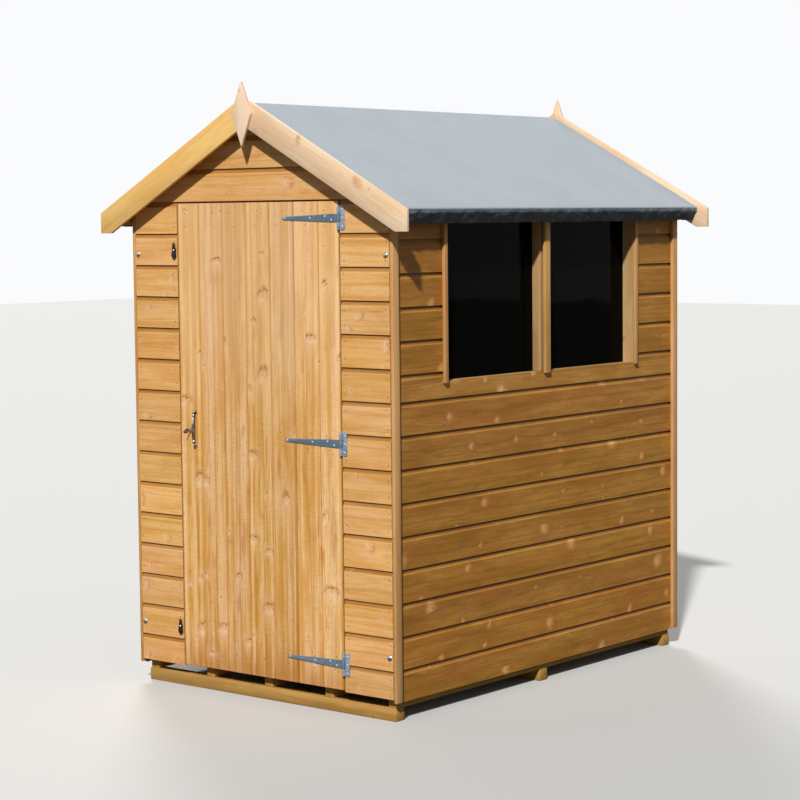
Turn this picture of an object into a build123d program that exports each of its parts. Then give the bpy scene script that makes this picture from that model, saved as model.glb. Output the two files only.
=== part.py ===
from build123d import *
import math
import os

# Small wooden garden shed with an apex roof, a boarded door and a two-pane side window.
# Millimetres. X runs across the door wall, Y from the door wall to the back, Z up.
# The origin is on the ground, under the middle of the shed.

# Walls
wall_width = 1194.0
wall_length = 1730.0
board_thickness = 12.0
board_cover = 112.0
cove_height = 18.0
cove_depth = 6.0
least_board_height = 1.0
frame_depth = 44.0
stud_width = 28.0
front_board_inset = 3.0
lap_base = 62.0
front_boards_bottom = 80.0
side_boards_bottom = 65.0
eaves_height = 1734.0
stud_bays = 3

# Floor
bearer_size = 44.0
joist_height = 38.0
joist_width = 38.0
joist_count = 5
floor_thickness = 12.0
bearer_setback = 24.0

# Doorway
opening_width = 766.0
head_above_eaves = 8.0
door_gap = 5.0
door_bottom = 86.0
stop_width = 15.0
stop_depth = 20.0

# Door
door_board_thickness = 12.0
groove_depth = 3.0
groove_half_width = 3.0
latch_board_width = 102.0
ledge_height = 80.0
ledge_thickness = 20.0
ledge_inset = 10.0
brace_width = 80.0
bottom_ledge_rise = 88.0
middle_ledge = 924.0
top_ledge_drop = 56.0

# Hinges
pin_offset = 5.5
pin_radius = 2.5
knuckle_radius = 5.0
knuckle_gap = 0.5
pin_clearance = 0.1
leaf_thickness = 2.5
strap_root = 28.0
strap_tip = 11.0
strap_length = 256.0
plate_height = 79.0
plate_width = 24.0

# Pull handle and key
pull_inset = 71.0
pull_above_ledge = 16.0
pull_span = 118.0
pull_reach = 15.0
pull_radius = 4.3
pull_knob_radius = 6.5
pull_rose_radius = 8.0
pull_rose_thickness = 1.5
pull_bead_radius = 6.0
pull_bead_drop = 14.0
key_inset = 48.0
key_above_ledge = 9.0
key_shank_radius = 2.5
key_shank_length = 12.0
key_bow_length = 26.0
key_bow_width = 20.0
key_bow_thickness = 3.0
key_bow_hole = 3.0
key_tilt = -63.0
escutcheon_radius = 9.0
escutcheon_thickness = 2.0
lock_width = 70.0
lock_height = 50.0
lock_depth = 18.0

# Turn buttons on the wall beside the door
button_beyond_door = 16.0
lower_button_rise = 136.0
upper_button_drop = 165.0
button_round_radius = 10.0
button_point_radius = 4.0
button_reach = 18.0
button_tail = 27.0
button_thickness = 4.0
button_standoff = 5.0
hub_radius = 7.0
seat_gap = 0.3
screw_head_radius = 5.0
screw_head_height = 2.0

# Window in the right wall
window_half_width = 572.0
mullion_width = 31.0
mullion_offset = 6.0
window_sill = 1126.0
sill_lap_rise = 33.3
side_lap_drop = 1.3
strip_width = 18.0
strip_thickness = 12.0
strip_overlap = 6.0
glass_thickness = 3.0
glass_recess = 46.0
bead_width = 12.0

# Corner strips
corner_strip_width = 32.0
corner_strip_bottom = 68.0

# Roof
roof_pitch = 28.6
deck_thickness = 12.0
deck_edge_radius = 6.0
deck_edge_flat = 1.0
felt_thickness = 3.0
eave_overhang = 78.0
end_overhang = 43.0
eave_batten_width = 28.0
eave_batten_depth = 41.0
purlin_width = 28.0
purlin_depth = 44.0
barge_thickness = 12.0
barge_depth = 88.0
barge_stand = 20.0
barge_beyond_felt = 41.0
barge_end_height = 72.0
finial_half_width = 44.0
finial_half_height = 111.0
finial_drop = 60.0
finial_thickness = 12.0

# Cuts run this far past what they cut through
cut_margin = 1.0

# Sizes worked out from those above
half_width = wall_width / 2
half_length = wall_length / 2
front_face = -half_length
rear_face = half_length
frame_out_x = half_width - board_thickness
frame_out_y = half_length - board_thickness
frame_in_x = frame_out_x - frame_depth
frame_in_y = frame_out_y - frame_depth
front_half = half_width - front_board_inset
joist_bottom = bearer_size
floor_underside = joist_bottom + joist_height
floor_top = floor_underside + floor_thickness
plate_top = floor_top + stud_width
half_opening = opening_width / 2
opening_top = eaves_height + head_above_eaves
door_half = half_opening - door_gap
door_top = opening_top - door_gap
ledge_heights = (door_bottom + bottom_ledge_rise, middle_ledge, door_top - top_ledge_drop)
pull_side = door_half - pull_inset
pull_height = middle_ledge + pull_above_ledge
key_side = door_half - key_inset
key_height = middle_ledge + key_above_ledge
button_side = door_half + button_beyond_door
button_heights = (door_bottom + lower_button_rise, door_top - upper_button_drop)
sill_lap = window_sill + sill_lap_rise
door_back = front_face + door_board_thickness
stop_front = door_back + door_gap
stop_edge = half_opening - stop_width
ledge_half = stop_edge - ledge_inset
slope = math.tan(math.radians(roof_pitch))
slope_cos = math.cos(math.radians(roof_pitch))
slope_sin = math.sin(math.radians(roof_pitch))
ridge_underside = eaves_height + half_width * slope
rafter_drop = frame_depth / slope_cos
deck_half_length = half_length + end_overhang
barge_outer = deck_half_length + barge_thickness
felt_top = deck_thickness + felt_thickness
barge_apex = ridge_underside + felt_top / slope_cos + barge_stand
finial_centre = barge_apex - finial_drop
head_rail_top = opening_top + stud_width
head_rail_half = half_width - (head_rail_top + rafter_drop - eaves_height) / slope
eave_reach = half_width + eave_overhang
barge_half_span = eave_reach + barge_beyond_felt
deck_run = (eave_reach - felt_top * slope_sin) / slope_cos - felt_thickness
deck_round = min(deck_edge_radius, deck_thickness - deck_edge_flat)
window_head = eaves_height - stud_width + board_thickness * slope
hinge_x = half_opening - door_gap / 2
hinge_y = front_face - pin_offset
strip_out_x = half_width + strip_thickness


def deck_underside(x):
    """Height of the roof boards' underside at a distance x from the middle."""
    return ridge_underside - abs(x) * slope


def block(x0, x1, y0, y1, z0, z1):
    """A squared timber between its six faces."""
    size = Box(x1 - x0, y1 - y0, z1 - z0)
    return Pos((x0 + x1) / 2, (y0 + y1) / 2, (z0 + z1) / 2) * size


def prism_along_y(points, y0, y1):
    """A section given as X and Z points, run from y0 to y1."""
    outline = Polyline([(x, y0, z) for x, z in points], close=True)
    return extrude(make_face(outline), amount=y1 - y0, dir=(0, 1, 0))


def prism_along_z(points, z0, z1):
    """A plan given as X and Y points, run from z0 to z1."""
    outline = Polyline([(x, y, z0) for x, y in points], close=True)
    return extrude(make_face(outline), amount=z1 - z0, dir=(0, 0, 1))


def rod_along_y(x, z, radius, y0, y1):
    """A round bar, or a round hole's tool, from y0 to y1."""
    return Pos(x, (y0 + y1) / 2, z) * (Rot(90, 0, 0) * Cylinder(radius, y1 - y0))


def both_sides(x0, x1, y0, y1, z0, z1):
    """The same timber on the right and on the left."""
    return [block(x0, x1, y0, y1, z0, z1), block(-x1, -x0, y0, y1, z0, z1)]


def lap_heights(first, top):
    """Heights of the lap lines from the first one up to a top."""
    count = int(math.floor((top - first) / board_cover)) + 1
    laps = [first + board_cover * i for i in range(count)]
    return [lap for lap in laps if lap < top - least_board_height]


def shiplap(bottom, top, laps, place, run):
    """Boards of coved shiplap as one skin: place sets depth and height, run is a vector.

    Each cove is a hollow that starts on the board's face and ends upright, under the lap above it.
    """
    edges = []
    here = place(0, bottom)
    for lap in laps:
        if lap - cove_height <= bottom:
            continue
        shoulder = place(0, lap - cove_height)
        seat = place(cove_depth, lap)
        lip = place(0, lap)
        edges.append(Line(here, shoulder))
        edges.append(TangentArc(seat, shoulder, tangent=(0, 0, -1)))
        edges.append(Line(seat, lip))
        here = lip
    edges.append(Line(here, place(0, top)))
    edges.append(Line(place(0, top), place(board_thickness, top)))
    edges.append(Line(place(board_thickness, top), place(board_thickness, bottom)))
    edges.append(Line(place(board_thickness, bottom), place(0, bottom)))
    length = Vector(*run).length
    return extrude(make_face(Wire(edges)), amount=length, dir=Vector(*run).normalized())


def front_boards(x0, x1, bottom, top):
    """Shiplap on the door wall between two X places."""
    laps = lap_heights(lap_base + board_cover, top)
    return shiplap(bottom, top, [lap for lap in laps if lap > bottom],
                   lambda depth, z: (x0, front_face + depth, z), (x1 - x0, 0, 0))


def rear_boards(x0, x1, bottom, top):
    """Shiplap on the back wall."""
    laps = lap_heights(lap_base + board_cover, top)
    return shiplap(bottom, top, [lap for lap in laps if lap > bottom],
                   lambda depth, z: (x0, rear_face - depth, z), (x1 - x0, 0, 0))


def side_boards(side, y0, y1, bottom, top, laps):
    """Shiplap on a side wall; side is 1 for the right and -1 for the left."""
    return shiplap(bottom, top, [lap for lap in laps if lap > bottom],
                   lambda depth, z: (side * (half_width - depth), y0, z), (0, y1 - y0, 0))


def under_roof():
    """The space below the roof boards, used to trim the gable walls."""
    points = [(-half_width, 0), (half_width, 0), (half_width, eaves_height),
              (0, ridge_underside), (-half_width, eaves_height)]
    return prism_along_y(points, front_face - cut_margin, rear_face + cut_margin)


def slope_point(side, along, out):
    """A point on a roof slope: along from the ridge, out from the boards' underside."""
    return (side * (along * slope_cos + out * slope_sin),
            ridge_underside - along * slope_sin + out * slope_cos)


def ridge_start(out):
    """Where a layer of the roof meets the plumb joint at the ridge."""
    return -out * slope_sin / slope_cos


def base_parts():
    """Bearers, joists and floor."""
    bearer_half = frame_out_x
    first = front_face + bearer_setback
    ys = [first, -bearer_size / 2, -first - bearer_size]
    bearers = [block(-bearer_half, bearer_half, y, y + bearer_size, 0, bearer_size) for y in ys]
    spacing = (2 * frame_out_x - joist_width) / (joist_count - 1)
    joists = []
    for i in range(joist_count):
        x = -frame_out_x + spacing * i
        joists.append(block(x, x + joist_width, -frame_out_y + joist_width / 2,
                            frame_out_y - joist_width / 2, joist_bottom, floor_underside))
    floor = block(-frame_out_x, frame_out_x, -frame_out_y, frame_out_y, floor_underside, floor_top)
    return {"bearers": bearers, "floor_joists": joists, "floor_boards": [floor]}


def post_under_rafter(x0, x1, y0, y1, z0):
    """A gable post with its head cut to the rafter's underside."""
    points = [(x0, z0), (x1, z0), (x1, deck_underside(x1) - rafter_drop),
              (x0, deck_underside(x0) - rafter_drop)]
    return prism_along_y(points, y0, y1)


def gable_frame_parts():
    """Posts and rails of the front and back walls, and the rafters over them."""
    y0 = -frame_out_y
    y1 = -frame_in_y
    outer = frame_out_x
    corner = outer - stud_width
    post = half_opening + stud_width
    front_posts = both_sides(half_opening, post, y0, y1, plate_top, opening_top)
    front_posts.append(post_under_rafter(corner, outer, y0, y1, plate_top))
    front_posts.append(post_under_rafter(-outer, -corner, y0, y1, plate_top))
    front_rails = both_sides(half_opening, outer, y0, y1, floor_top, plate_top)
    front_rails.append(block(-head_rail_half, head_rail_half, y0, y1, opening_top, head_rail_top))
    threshold = block(-half_opening, half_opening, stop_front, y1, floor_top, plate_top)
    stud = half_width / stud_bays
    rear_posts = both_sides(stud - stud_width / 2, stud + stud_width / 2, -y1, -y0, plate_top, opening_top)
    rear_posts.append(post_under_rafter(corner, outer, -y1, -y0, plate_top))
    rear_posts.append(post_under_rafter(-outer, -corner, -y1, -y0, plate_top))
    rear_rails = [block(-outer, outer, -y1, -y0, floor_top, plate_top),
                  block(-head_rail_half, head_rail_half, -y1, -y0, opening_top, head_rail_top)]
    parts = {"front_posts": front_posts, "front_rails": front_rails, "door_threshold": [threshold],
             "rear_posts": rear_posts, "rear_rails": rear_rails}
    for side, name in ((-1, "rafters_left"), (1, "rafters_right")):
        points = [(0, ridge_underside), (side * outer, deck_underside(outer)),
                  (side * outer, deck_underside(outer) - rafter_drop), (0, ridge_underside - rafter_drop)]
        parts[name] = [prism_along_y(points, y0, y1), prism_along_y(points, -y1, -y0)]
    return parts


def door_stop_parts():
    """Battens that the closed door faces, on the posts and under the head rail."""
    head = opening_top - stop_width
    sides = both_sides(stop_edge, half_opening, stop_front, stop_front + stop_depth, plate_top, head)
    top = block(-half_opening, half_opening, stop_front, stop_front + stop_depth, head, opening_top)
    return {"door_side_stops": sides, "door_head_stop": [top]}


def wall_plate(side):
    """Top rail of a side wall, bevelled to the roof boards."""
    points = [(side * frame_in_x, window_head), (side * frame_out_x, window_head),
              (side * frame_out_x, deck_underside(frame_out_x)),
              (side * frame_in_x, deck_underside(frame_in_x))]
    return prism_along_y(points, -frame_in_y, frame_in_y)


def side_frame_parts():
    """Studs and rails of the two side walls, with the window's posts and sill rail."""
    x0 = frame_in_x
    x1 = frame_out_x
    end = frame_in_y
    mullion = (mullion_offset - mullion_width / 2, mullion_offset + mullion_width / 2)
    ends = [(-end, -end + stud_width), (end - stud_width, end)]
    jambs = [(-window_half_width - stud_width, -window_half_width),
             (window_half_width, window_half_width + stud_width)]
    right_studs = [block(x0, x1, a, b, plate_top, window_head) for a, b in ends + jambs]
    right_studs.append(block(x0, x1, *mullion, window_sill, window_head))
    right_studs.append(block(x0, x1, *mullion, plate_top, window_sill - stud_width))
    right_rails = [block(x0, x1, -end, end, floor_top, plate_top), wall_plate(1),
                   block(x0, x1, -window_half_width, window_half_width,
                         window_sill - stud_width, window_sill)]
    stud = end / stud_bays
    inner = [(y - stud_width / 2, y + stud_width / 2) for y in (-stud, stud)]
    left_studs = [block(-x1, -x0, a, b, plate_top, window_head) for a, b in ends + inner]
    left_rails = [block(-x1, -x0, -end, end, floor_top, plate_top), wall_plate(-1)]
    return {"right_studs": right_studs, "right_rails": right_rails,
            "left_studs": left_studs, "left_rails": left_rails}


def cladding_parts():
    """Coved shiplap skins, split beside and over the doorway and round the window."""
    trim = under_roof()
    left = front_boards(-front_half, -half_opening, front_boards_bottom, opening_top) & trim
    right = front_boards(half_opening, front_half, front_boards_bottom, opening_top) & trim
    gable = front_boards(-front_half, front_half, opening_top, ridge_underside) & trim
    rear = rear_boards(-front_half, front_half, front_boards_bottom, ridge_underside) & trim
    y0 = -frame_out_y
    y1 = frame_out_y
    plain_laps = lap_heights(lap_base + board_cover, eaves_height)
    low_laps = lap_heights(lap_base + board_cover - side_lap_drop, window_sill)
    high_laps = lap_heights(sill_lap, eaves_height)
    near = -window_half_width
    far = window_half_width
    return {
        "front_cladding_left": [left],
        "front_cladding_right": [right],
        "front_cladding_gable": [gable],
        "rear_cladding": [rear],
        "left_cladding": [side_boards(-1, y0, y1, side_boards_bottom, eaves_height, plain_laps)],
        "right_cladding_lower": [side_boards(1, y0, y1, side_boards_bottom, window_sill, low_laps)],
        "right_cladding_front": [side_boards(1, y0, near, window_sill, eaves_height, high_laps)],
        "right_cladding_rear": [side_boards(1, far, y1, window_sill, eaves_height, high_laps)],
        "window_head_board": [block(frame_out_x, half_width, near, far, window_head, eaves_height)],
    }


def corner_strip_parts():
    """Upright strips over the four corners, on the side walls."""
    top = deck_underside(strip_out_x)
    front = both_sides(half_width, strip_out_x, front_face, front_face + corner_strip_width,
                       corner_strip_bottom, top)
    rear = both_sides(half_width, strip_out_x, rear_face - corner_strip_width, rear_face,
                      corner_strip_bottom, top)
    return {"corner_strips": front + rear}


def window_parts():
    """Strips round the panes, the glass and the beads behind it."""
    top = deck_underside(strip_out_x)
    low = window_sill - strip_overlap
    places = [(-window_half_width - strip_width, -window_half_width),
              (mullion_offset - mullion_width / 2, mullion_offset + mullion_width / 2),
              (window_half_width, window_half_width + strip_width)]
    strips = [block(half_width, strip_out_x, a, b, low, top) for a, b in places]
    bays = [(-window_half_width, mullion_offset - mullion_width / 2),
            (mullion_offset + mullion_width / 2, window_half_width)]
    outer = half_width - glass_recess
    inner = outer - glass_thickness
    panes = []
    uprights = []
    levels = []
    for a, b in bays:
        panes.append(block(inner, outer, a + seat_gap, b - seat_gap,
                           window_sill + seat_gap, window_head - seat_gap))
        for y in (a, b - bead_width):
            uprights.append(block(frame_in_x, inner, y, y + bead_width, window_sill, window_head))
        for z in (window_sill, window_head - bead_width):
            levels.append(block(frame_in_x, inner, a + bead_width, b - bead_width, z, z + bead_width))
    return {"window_strips": strips, "window_glass": panes,
            "glazing_beads_upright": uprights, "glazing_beads_level": levels}


def eased(layer, corner, radius):
    """A layer of the roof with its long edge at a corner of the section rounded."""
    x, z = corner
    edge = layer.edges().filter_by(Axis.Y).sort_by_distance((x, 0, z))[0]
    return fillet(edge, radius)


def roof_side_parts(side, name):
    """Boards and felt of one roof slope, with the felt bent over the rounded edge of the boards."""
    run = deck_run
    fold = run + felt_thickness
    deck_corner = slope_point(side, run, deck_thickness)
    felt_corner = slope_point(side, fold, felt_top)
    deck = [slope_point(side, ridge_start(0), 0), slope_point(side, run, 0), deck_corner,
            slope_point(side, ridge_start(deck_thickness), deck_thickness)]
    felt = [slope_point(side, ridge_start(deck_thickness), deck_thickness), deck_corner,
            slope_point(side, run, -eave_batten_depth), slope_point(side, fold, -eave_batten_depth),
            felt_corner, slope_point(side, ridge_start(felt_top), felt_top)]
    boards = eased(prism_along_y(deck, -deck_half_length, deck_half_length), deck_corner, deck_round)
    sheet = eased(prism_along_y(felt, -deck_half_length, deck_half_length), deck_corner, deck_round)
    sheet = eased(sheet, felt_corner, deck_round + felt_thickness)
    return {"roof_deck_" + name: [boards], "roof_felt_" + name: [sheet]}


def roof_timber_parts():
    """Eave battens and purlins under the roof boards."""
    battens = []
    purlins = []
    middle = deck_run / 2
    for side in (-1, 1):
        section = [slope_point(side, deck_run - eave_batten_width, 0), slope_point(side, deck_run, 0),
                   slope_point(side, deck_run, -eave_batten_depth),
                   slope_point(side, deck_run - eave_batten_width, -eave_batten_depth)]
        battens.append(prism_along_y(section, -deck_half_length, deck_half_length))
        section = [slope_point(side, middle - purlin_width, 0), slope_point(side, middle, 0),
                   slope_point(side, middle, -purlin_depth),
                   slope_point(side, middle - purlin_width, -purlin_depth)]
        purlins.append(prism_along_y(section, -frame_in_y, frame_in_y))
    return {"eave_battens": battens, "purlins": purlins}


def barge_section(side):
    """Bargeboard outline: plumb at the ridge, plumb and then level at the eave."""
    drop = barge_depth / slope_cos
    end_top = barge_apex - barge_half_span * slope
    end_bottom = end_top - barge_end_height
    foot = (barge_apex - drop - end_bottom) / slope
    return [(0, barge_apex), (side * barge_half_span, end_top), (side * barge_half_span, end_bottom),
            (side * foot, end_bottom), (0, barge_apex - drop)]


def roof_trim_parts():
    """Bargeboards and the pointed finials over their joints."""
    parts = {}
    for side, name in ((-1, "bargeboards_left"), (1, "bargeboards_right")):
        section = barge_section(side)
        parts[name] = [prism_along_y(section, -barge_outer, -deck_half_length),
                       prism_along_y(section, deck_half_length, barge_outer)]
    kite = [(0, finial_centre - finial_half_height), (finial_half_width, finial_centre),
            (0, finial_centre + finial_half_height), (-finial_half_width, finial_centre)]
    parts["finials"] = [prism_along_y(kite, -barge_outer - finial_thickness, -barge_outer),
                        prism_along_y(kite, barge_outer, barge_outer + finial_thickness)]
    return parts


def door_board_part():
    """Tongued and grooved door boards as one skin with its V joints cut in."""
    back = door_back
    points = [(-door_half, back), (-door_half, front_face)]
    groove = -door_half + latch_board_width
    while groove + groove_half_width < door_half:
        points.append((groove - groove_half_width, front_face))
        points.append((groove, front_face + groove_depth))
        points.append((groove + groove_half_width, front_face))
        groove += board_cover
    points += [(door_half, front_face), (door_half, back)]
    return prism_along_z(points, door_bottom, door_top)


def door_frame_parts():
    """Ledges and braces on the inside of the door."""
    back = door_back
    inner = back + ledge_thickness
    half = ledge_height / 2
    ledges = [block(-ledge_half, ledge_half, back, inner, z - half, z + half) for z in ledge_heights]
    braces = []
    for low, high in zip(ledge_heights, ledge_heights[1:]):
        z0 = low + half
        z1 = high - half
        points = [(ledge_half, z0), (ledge_half - brace_width, z0), (-ledge_half, z1),
                  (-ledge_half + brace_width, z1)]
        braces.append(prism_along_y(points, back, inner))
    return {"door_ledges": ledges, "door_braces": braces}


def hinge_strap(z):
    """Tapered door leaf of one hinge with its middle knuckle."""
    y0 = front_face - leaf_thickness
    root = strap_root / 2
    tip = strap_tip / 2
    end = hinge_x - strap_length
    points = [(hinge_x, z - root), (hinge_x, z + root), (hinge_x - strap_root, z + root),
              (end + tip, z + tip), (end, z), (end + tip, z - tip), (hinge_x - strap_root, z - root)]
    leaf = prism_along_y(points, y0, front_face)
    knuckle = Pos(hinge_x, hinge_y, z) * Cylinder(knuckle_radius, strap_root)
    bore = Pos(hinge_x, hinge_y, z) * Cylinder(pin_radius + pin_clearance, strap_root)
    clear = block(hinge_x, hinge_x + knuckle_radius, hinge_y, front_face + cut_margin, z - root, z + root)
    return (leaf + knuckle) - bore - (clear - knuckle)


def hinge_plate(z):
    """Wall leaf of one hinge with its two outer knuckles and the pin."""
    y0 = front_face - leaf_thickness
    half = plate_height / 2
    plate_in = half_opening + door_gap / 2
    leaf = block(plate_in, hinge_x + plate_width, y0, front_face, z - half, z + half)
    length = (plate_height - strap_root) / 2 - knuckle_gap
    offset = half - length / 2
    solid = leaf
    for sign in (-1, 1):
        place = Pos(hinge_x, hinge_y, z + sign * offset)
        solid = solid + place * Cylinder(knuckle_radius, length)
        tab = block(hinge_x, plate_in, y0, front_face, z + sign * offset - length / 2,
                    z + sign * offset + length / 2)
        solid = solid + tab
    pin = Pos(hinge_x, hinge_y, z) * Cylinder(pin_radius, plate_height)
    return solid + pin


def pull_handle():
    """Shallow bow handle with a knob and a turned bead at each end, on round roses."""
    half = pull_span / 2
    knob_y = front_face - pull_knob_radius
    start = (-pull_side, knob_y, pull_height - half)
    middle = (-pull_side, front_face - pull_reach, pull_height)
    end = (-pull_side, knob_y, pull_height + half)
    path = ThreePointArc(start, middle, end)
    section = Plane(origin=start, z_dir=path % 0) * Circle(pull_radius)
    solid = sweep(section, path)
    for z, drop in ((start[2], pull_bead_drop), (end[2], path.length - pull_bead_drop)):
        rose_front = front_face - pull_rose_thickness
        solid = solid + rod_along_y(-pull_side, z, pull_rose_radius, rose_front, front_face)
        solid = solid + rod_along_y(-pull_side, z, pull_radius, knob_y, rose_front)
        solid = solid + Pos(-pull_side, knob_y, z) * Sphere(pull_knob_radius)
        solid = solid + Pos(*(path @ (drop / path.length))) * Sphere(pull_bead_radius)
    return solid


def lock_parts():
    """Escutcheon, the key that stands in it and the lock case inside."""
    disc_front = front_face - escutcheon_thickness
    disc = rod_along_y(-key_side, key_height, escutcheon_radius, disc_front, front_face)
    shank_end = disc_front - key_shank_length
    shank = rod_along_y(-key_side, key_height, key_shank_radius, shank_end, disc_front)
    bow = extrude(Ellipse(key_bow_width / 2, key_bow_length / 2), amount=key_bow_thickness / 2, both=True)
    bow = bow - Cylinder(key_bow_hole, key_bow_thickness * 2)
    bow_y = shank_end - key_bow_length / 2 + key_shank_radius
    bow = Pos(-key_side, bow_y, key_height) * (Rot(0, key_tilt, 0) * bow)
    case_front = door_back + ledge_thickness
    right = -key_side + lock_width / 2
    case = block(-ledge_half, right, case_front, case_front + lock_depth,
                 key_height - lock_height / 2, key_height + lock_height / 2)
    return {"door_key": [disc + shank + bow], "lock_case": [case]}


def turn_button(z):
    """Tear-shaped turn button hanging point up beside the door."""
    back = front_face - button_standoff
    top = z + button_tail - button_point_radius
    low = z - button_reach
    blade = make_hull([Pos(-button_side, low) * Edge.make_circle(button_round_radius),
                       Pos(-button_side, top) * Edge.make_circle(button_point_radius)])
    blade = Pos(0, back, 0) * extrude(Plane.XZ * blade, amount=button_thickness)
    hub = rod_along_y(-button_side, z, hub_radius, back, front_face - seat_gap)
    bore = rod_along_y(-button_side, z, pin_radius + pin_clearance,
                       back - button_thickness - cut_margin, front_face)
    return blade + hub - bore


def button_screw(z):
    """Screw that a turn button turns on."""
    under_head = front_face - button_standoff - button_thickness - seat_gap
    shank = rod_along_y(-button_side, z, pin_radius, under_head, front_face)
    head = rod_along_y(-button_side, z, screw_head_radius, under_head - screw_head_height, under_head)
    return shank + head


def hardware_parts():
    """Hinges, handle, key and turn buttons."""
    parts = {"hinge_straps": [hinge_strap(z) for z in ledge_heights],
             "hinge_plates": [hinge_plate(z) for z in ledge_heights],
             "door_handle": [pull_handle()],
             "lower_turn_button": [turn_button(button_heights[0])],
             "upper_turn_button": [turn_button(button_heights[1])],
             "button_screws": [button_screw(z) for z in button_heights]}
    parts.update(lock_parts())
    return parts


def all_parts():
    """Every node of the shed with its solids."""
    parts = {}
    parts.update(base_parts())
    parts.update(gable_frame_parts())
    parts.update(door_stop_parts())
    parts.update(side_frame_parts())
    parts.update(cladding_parts())
    parts.update(corner_strip_parts())
    parts.update(window_parts())
    parts.update(roof_side_parts(-1, "left"))
    parts.update(roof_side_parts(1, "right"))
    parts.update(roof_timber_parts())
    parts.update(roof_trim_parts())
    parts["door_boards"] = [door_board_part()]
    parts.update(door_frame_parts())
    parts.update(hardware_parts())
    return parts


os.makedirs("parts", exist_ok=True)
for name, shapes in all_parts().items():
    solids = [solid for shape in shapes for solid in shape.solids()]
    export_step(Compound(children=solids) if len(solids) > 1 else solids[0], "parts/" + name + ".step")
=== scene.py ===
"""Looks of a small wooden garden shed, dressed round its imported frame. Metres, in the frame's axes."""

from __future__ import annotations

import logging
import math
import random
from dataclasses import dataclass
from enum import Enum
from typing import Callable, Iterable, Sequence

import bmesh
import bpy
import numpy as np
from mathutils import Matrix, Vector

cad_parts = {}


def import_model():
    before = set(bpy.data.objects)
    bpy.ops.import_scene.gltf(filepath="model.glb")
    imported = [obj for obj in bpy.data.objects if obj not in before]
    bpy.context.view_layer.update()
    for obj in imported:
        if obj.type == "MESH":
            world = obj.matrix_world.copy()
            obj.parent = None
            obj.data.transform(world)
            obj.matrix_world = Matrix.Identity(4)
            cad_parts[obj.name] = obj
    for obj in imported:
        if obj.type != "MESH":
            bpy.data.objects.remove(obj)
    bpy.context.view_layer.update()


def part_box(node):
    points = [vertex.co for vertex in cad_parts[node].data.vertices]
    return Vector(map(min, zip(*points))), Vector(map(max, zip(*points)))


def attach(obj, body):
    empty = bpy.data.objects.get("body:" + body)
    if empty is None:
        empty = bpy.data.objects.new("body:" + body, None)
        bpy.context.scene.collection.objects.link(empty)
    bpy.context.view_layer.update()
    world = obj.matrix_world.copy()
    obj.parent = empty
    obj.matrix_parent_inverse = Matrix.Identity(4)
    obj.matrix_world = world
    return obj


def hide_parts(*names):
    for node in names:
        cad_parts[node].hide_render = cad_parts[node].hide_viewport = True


LOG = logging.getLogger("garden_shed")

Colour = tuple[float, float, float, float]

UP = Vector((0.0, 0.0, 1.0))
RIGHT = Vector((1.0, 0.0, 0.0))
BACK = Vector((0.0, 1.0, 0.0))
SIDES = ((-1, "left"), (1, "right"))
ROOF_PITCH = math.radians(28.6)
BOARD_COVER = 0.112
BOARD_THICKNESS = 0.012
COVE_HEIGHT = 0.018
COVE_DEPTH = 0.006
LAP_GAP = 0.0007
FLANGE_HEIGHT = 0.008
LIP_ROUND = 0.0008
ARRIS = 0.0012
SEAT = 0.0005
MERGE_DISTANCE = 1e-5
DECK_EDGE_ROUND = 0.006
FELT_BEND = 0.009
# Depths behind a board's face at which the cove's painted shade is given.
COVE_SHADE_DEPTHS = (0.0, 0.0023, 0.004, COVE_DEPTH)
NAIL_RADIUS = 0.0021
NAIL_HEIGHT = 0.0006
NAIL_SIDES = 8
NAIL_DOME = ((0.0, 1.0), (0.6, 0.86), (1.0, 0.45))
SCREW_DOME = ((0.0, 1.0), (0.55, 0.92), (1.0, 0.55))
SCREW_SIDES = 16
SCREW_RECESS = (0.95, 0.22)
SMOOTH_DEGREES = 35.0
TURNED_DEGREES = 50.0
BEVEL_ANGLE = math.radians(32)
FLAT_ANGLE = math.radians(0.5)


def round_setback(radius: float) -> float:
    """How far an eave edge of this radius stands behind its sharp corner, along X."""
    return radius * (math.cos(ROOF_PITCH) + math.sin(ROOF_PITCH) - 1)


def down_slope(side: int) -> Vector:
    """The direction down one slope of the roof, 1 being the right one and -1 the left."""
    return Vector((side * math.cos(ROOF_PITCH), 0.0, -math.sin(ROOF_PITCH)))


def off_slope(side: int) -> Vector:
    """The direction square to one slope of the roof, away from the shed."""
    return Vector((side * math.sin(ROOF_PITCH), 0.0, math.cos(ROOF_PITCH)))


def srgb(red: int, green: int, blue: int) -> Colour:
    """Turns a display colour into a shader colour.

    Args:
        red: Red from 0 to 255.
        green: Green from 0 to 255.
        blue: Blue from 0 to 255.

    Returns:
        The linear colour with full alpha.
    """
    linear = []
    for value in (red, green, blue):
        share = value / 255
        linear.append(share / 12.92 if share <= 0.04045 else ((share + 0.055) / 1.055) ** 2.4)
    return (*linear, 1.0)


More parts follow.
